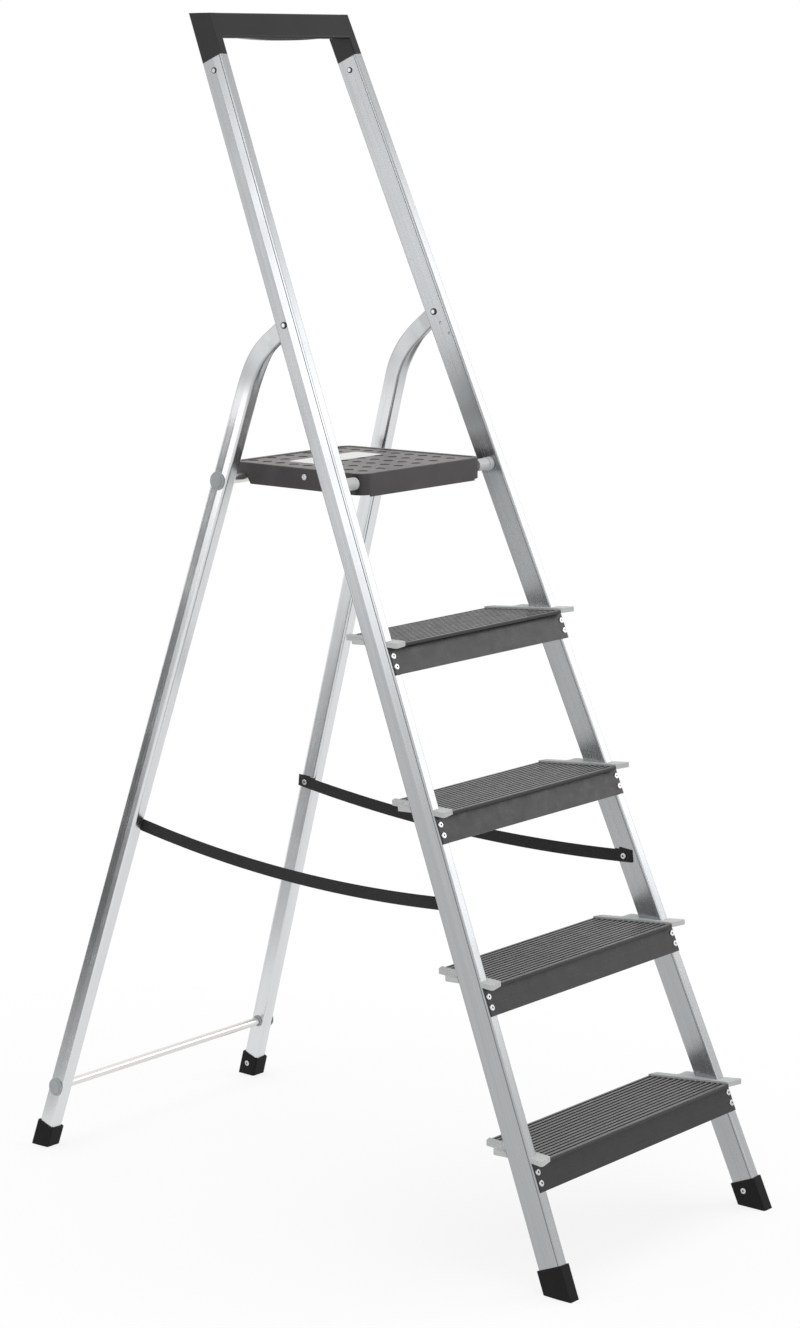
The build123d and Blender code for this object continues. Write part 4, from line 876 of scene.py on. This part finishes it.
white = add(floor_tree, "ShaderNodeEmission", {"Color": (1, 1, 1, 1), "Strength": 1.0}).outputs["Emission"]
blend = add(floor_tree, "ShaderNodeMixShader", {0: fade, 1: floor_shader.outputs["BSDF"], 2: white})
floor_tree.links.new(blend.outputs["Shader"], floor_tree.nodes["Material Output"].inputs["Surface"])
floor_mesh.materials.append(floor_finish)
print("Floor fades to white from", FADE_START, "to", FADE_END, "m")

# %% [markdown]
# Bright metal in an all-white room looks flat, so a photographer stands a grey sweep where one set of faces
# mirrors it. This one darkens the outer sides of the legs and fades to white along the floor. Only
# reflections see it: it throws no shadow, and no view shows it. Its rows run from its front edge on the floor
# over its foot to its top, which leans towards the legs.

# %% Grey sweep
SWEEP_FOOT = np.array([-0.60, 0.815, 0.002])
SWEEP_ALONG, SWEEP_FORWARD = unit(np.array([0.67, 0.74, 0.0])), unit(np.array([0.74, -0.67, 0.0]))
SWEEP_REACH = np.array([0.30, 0.0, 0.0, 0.12, 0.26, 0.42])
SWEEP_HEIGHT = np.array([0.0, 0.0, 0.25, 0.55, 0.80, 1.12])
NEAR_EDGE = np.array([-0.25, -0.25, -0.22, -0.205, -0.235, -0.285])
FAR_EDGE = np.array([0.42, 0.34, 0.26, 0.10, -0.11, -0.175])
SWEEP_GREY = np.array([0.85, 0.62, 0.16, 0.10, 0.12, 0.22])


def sweep_points():
    """Rows of two points: foot + edge x along + reach x forward + height x up; UV holds edge and grey."""
    edge = np.stack([NEAR_EDGE, FAR_EDGE], axis=1)
    rise = SWEEP_REACH[:, None] * SWEEP_FORWARD + SWEEP_HEIGHT[:, None] * UP
    points = SWEEP_FOOT + edge[..., None] * SWEEP_ALONG + rise[:, None]
    grey = np.broadcast_to(SWEEP_GREY[:, None], edge.shape)
    return points, np.stack([edge, grey], axis=-1)


sweep_mesh = grid_mesh("grey_sweep", *sweep_points())
sweep = bpy.data.objects.new("grey_sweep", sweep_mesh)
scene.collection.objects.link(sweep)
sweep.visible_camera = sweep.visible_diffuse = sweep.visible_shadow = False
sweep_finish, sweep_tree, sweep_shader = new_finish("sweep_grey")
sweep_place = add(sweep_tree, "ShaderNodeTexCoord").outputs["UV"]
grey = add(sweep_tree, "ShaderNodeSeparateXYZ", {"Vector": sweep_place}).outputs["Y"]
sweep_tree.links.new(grey, sweep_shader.inputs["Base Color"])
sweep_shader.inputs["Roughness"].default_value = 1.0
sweep_shader.inputs["Specular IOR Level"].default_value = 0.0
sweep_mesh.materials.append(sweep_finish)
print("Grey sweep", SWEEP_HEIGHT[-1], "m high")

# %% [markdown]
# The world is plain white where it is seen, and lights the pieces at a lower, even level. Satin metal shows
# little of that but the shapes of the lamps it mirrors, so each lamp stands where one set of faces throws
# it to the camera: the key for the front faces of the tubes, the side lamp for their outer sides. A lamp's
# power follows from its size and from how bright it looks beside the white background.

# %% World and lamps
WORLD_LIGHT = 0.62

world = bpy.data.worlds.new("studio")
scene.world = world
world.use_nodes = True
world_tree = world.node_tree
background = world_tree.nodes["Background"]
background.inputs["Color"].default_value = (1, 1, 1, 1)
glow = ramp(world_tree, seen_directly(world_tree), WORLD_LIGHT, 1.0)
world_tree.links.new(glow, background.inputs["Strength"])


def soft_lamp(name, place, aim, width, height, brightness):
    """An area lamp turned to a point; power = pi x width x height x brightness, where 1 looks white."""
    data = bpy.data.lights.new(name, "AREA")
    data.shape = "RECTANGLE"
    data.size, data.size_y = width, height
    data.energy = math.pi * width * height * brightness
    lamp = bpy.data.objects.new(name, data)
    scene.collection.objects.link(lamp)
    lamp.location = place
    lamp.rotation_euler = (Vector(aim) - Vector(place)).to_track_quat("-Z", "Y").to_euler()


soft_lamp("key_lamp", (3.0, -2.2, 2.15), aim=(0, -0.1, 0.95), width=1.7, height=1.9, brightness=1.9)
soft_lamp("side_lamp", (-3.3, 1.65, 1.32), aim=(-0.2, 0, 1.1), width=1.5, height=1.3, brightness=2.1)
soft_lamp("front_lamp", (-1.4, -4.4, 2.2), aim=(0, 0, 0.9), width=2.4, height=1.8, brightness=1.6)
soft_lamp("top_lamp", (0.2, 0.2, 4.8), aim=(0, 0, 0.8), width=3.0, height=3.0, brightness=2.6)
scene.view_settings.view_transform = "Standard"
print("Lamps:", [lamp.name for lamp in bpy.data.lights])
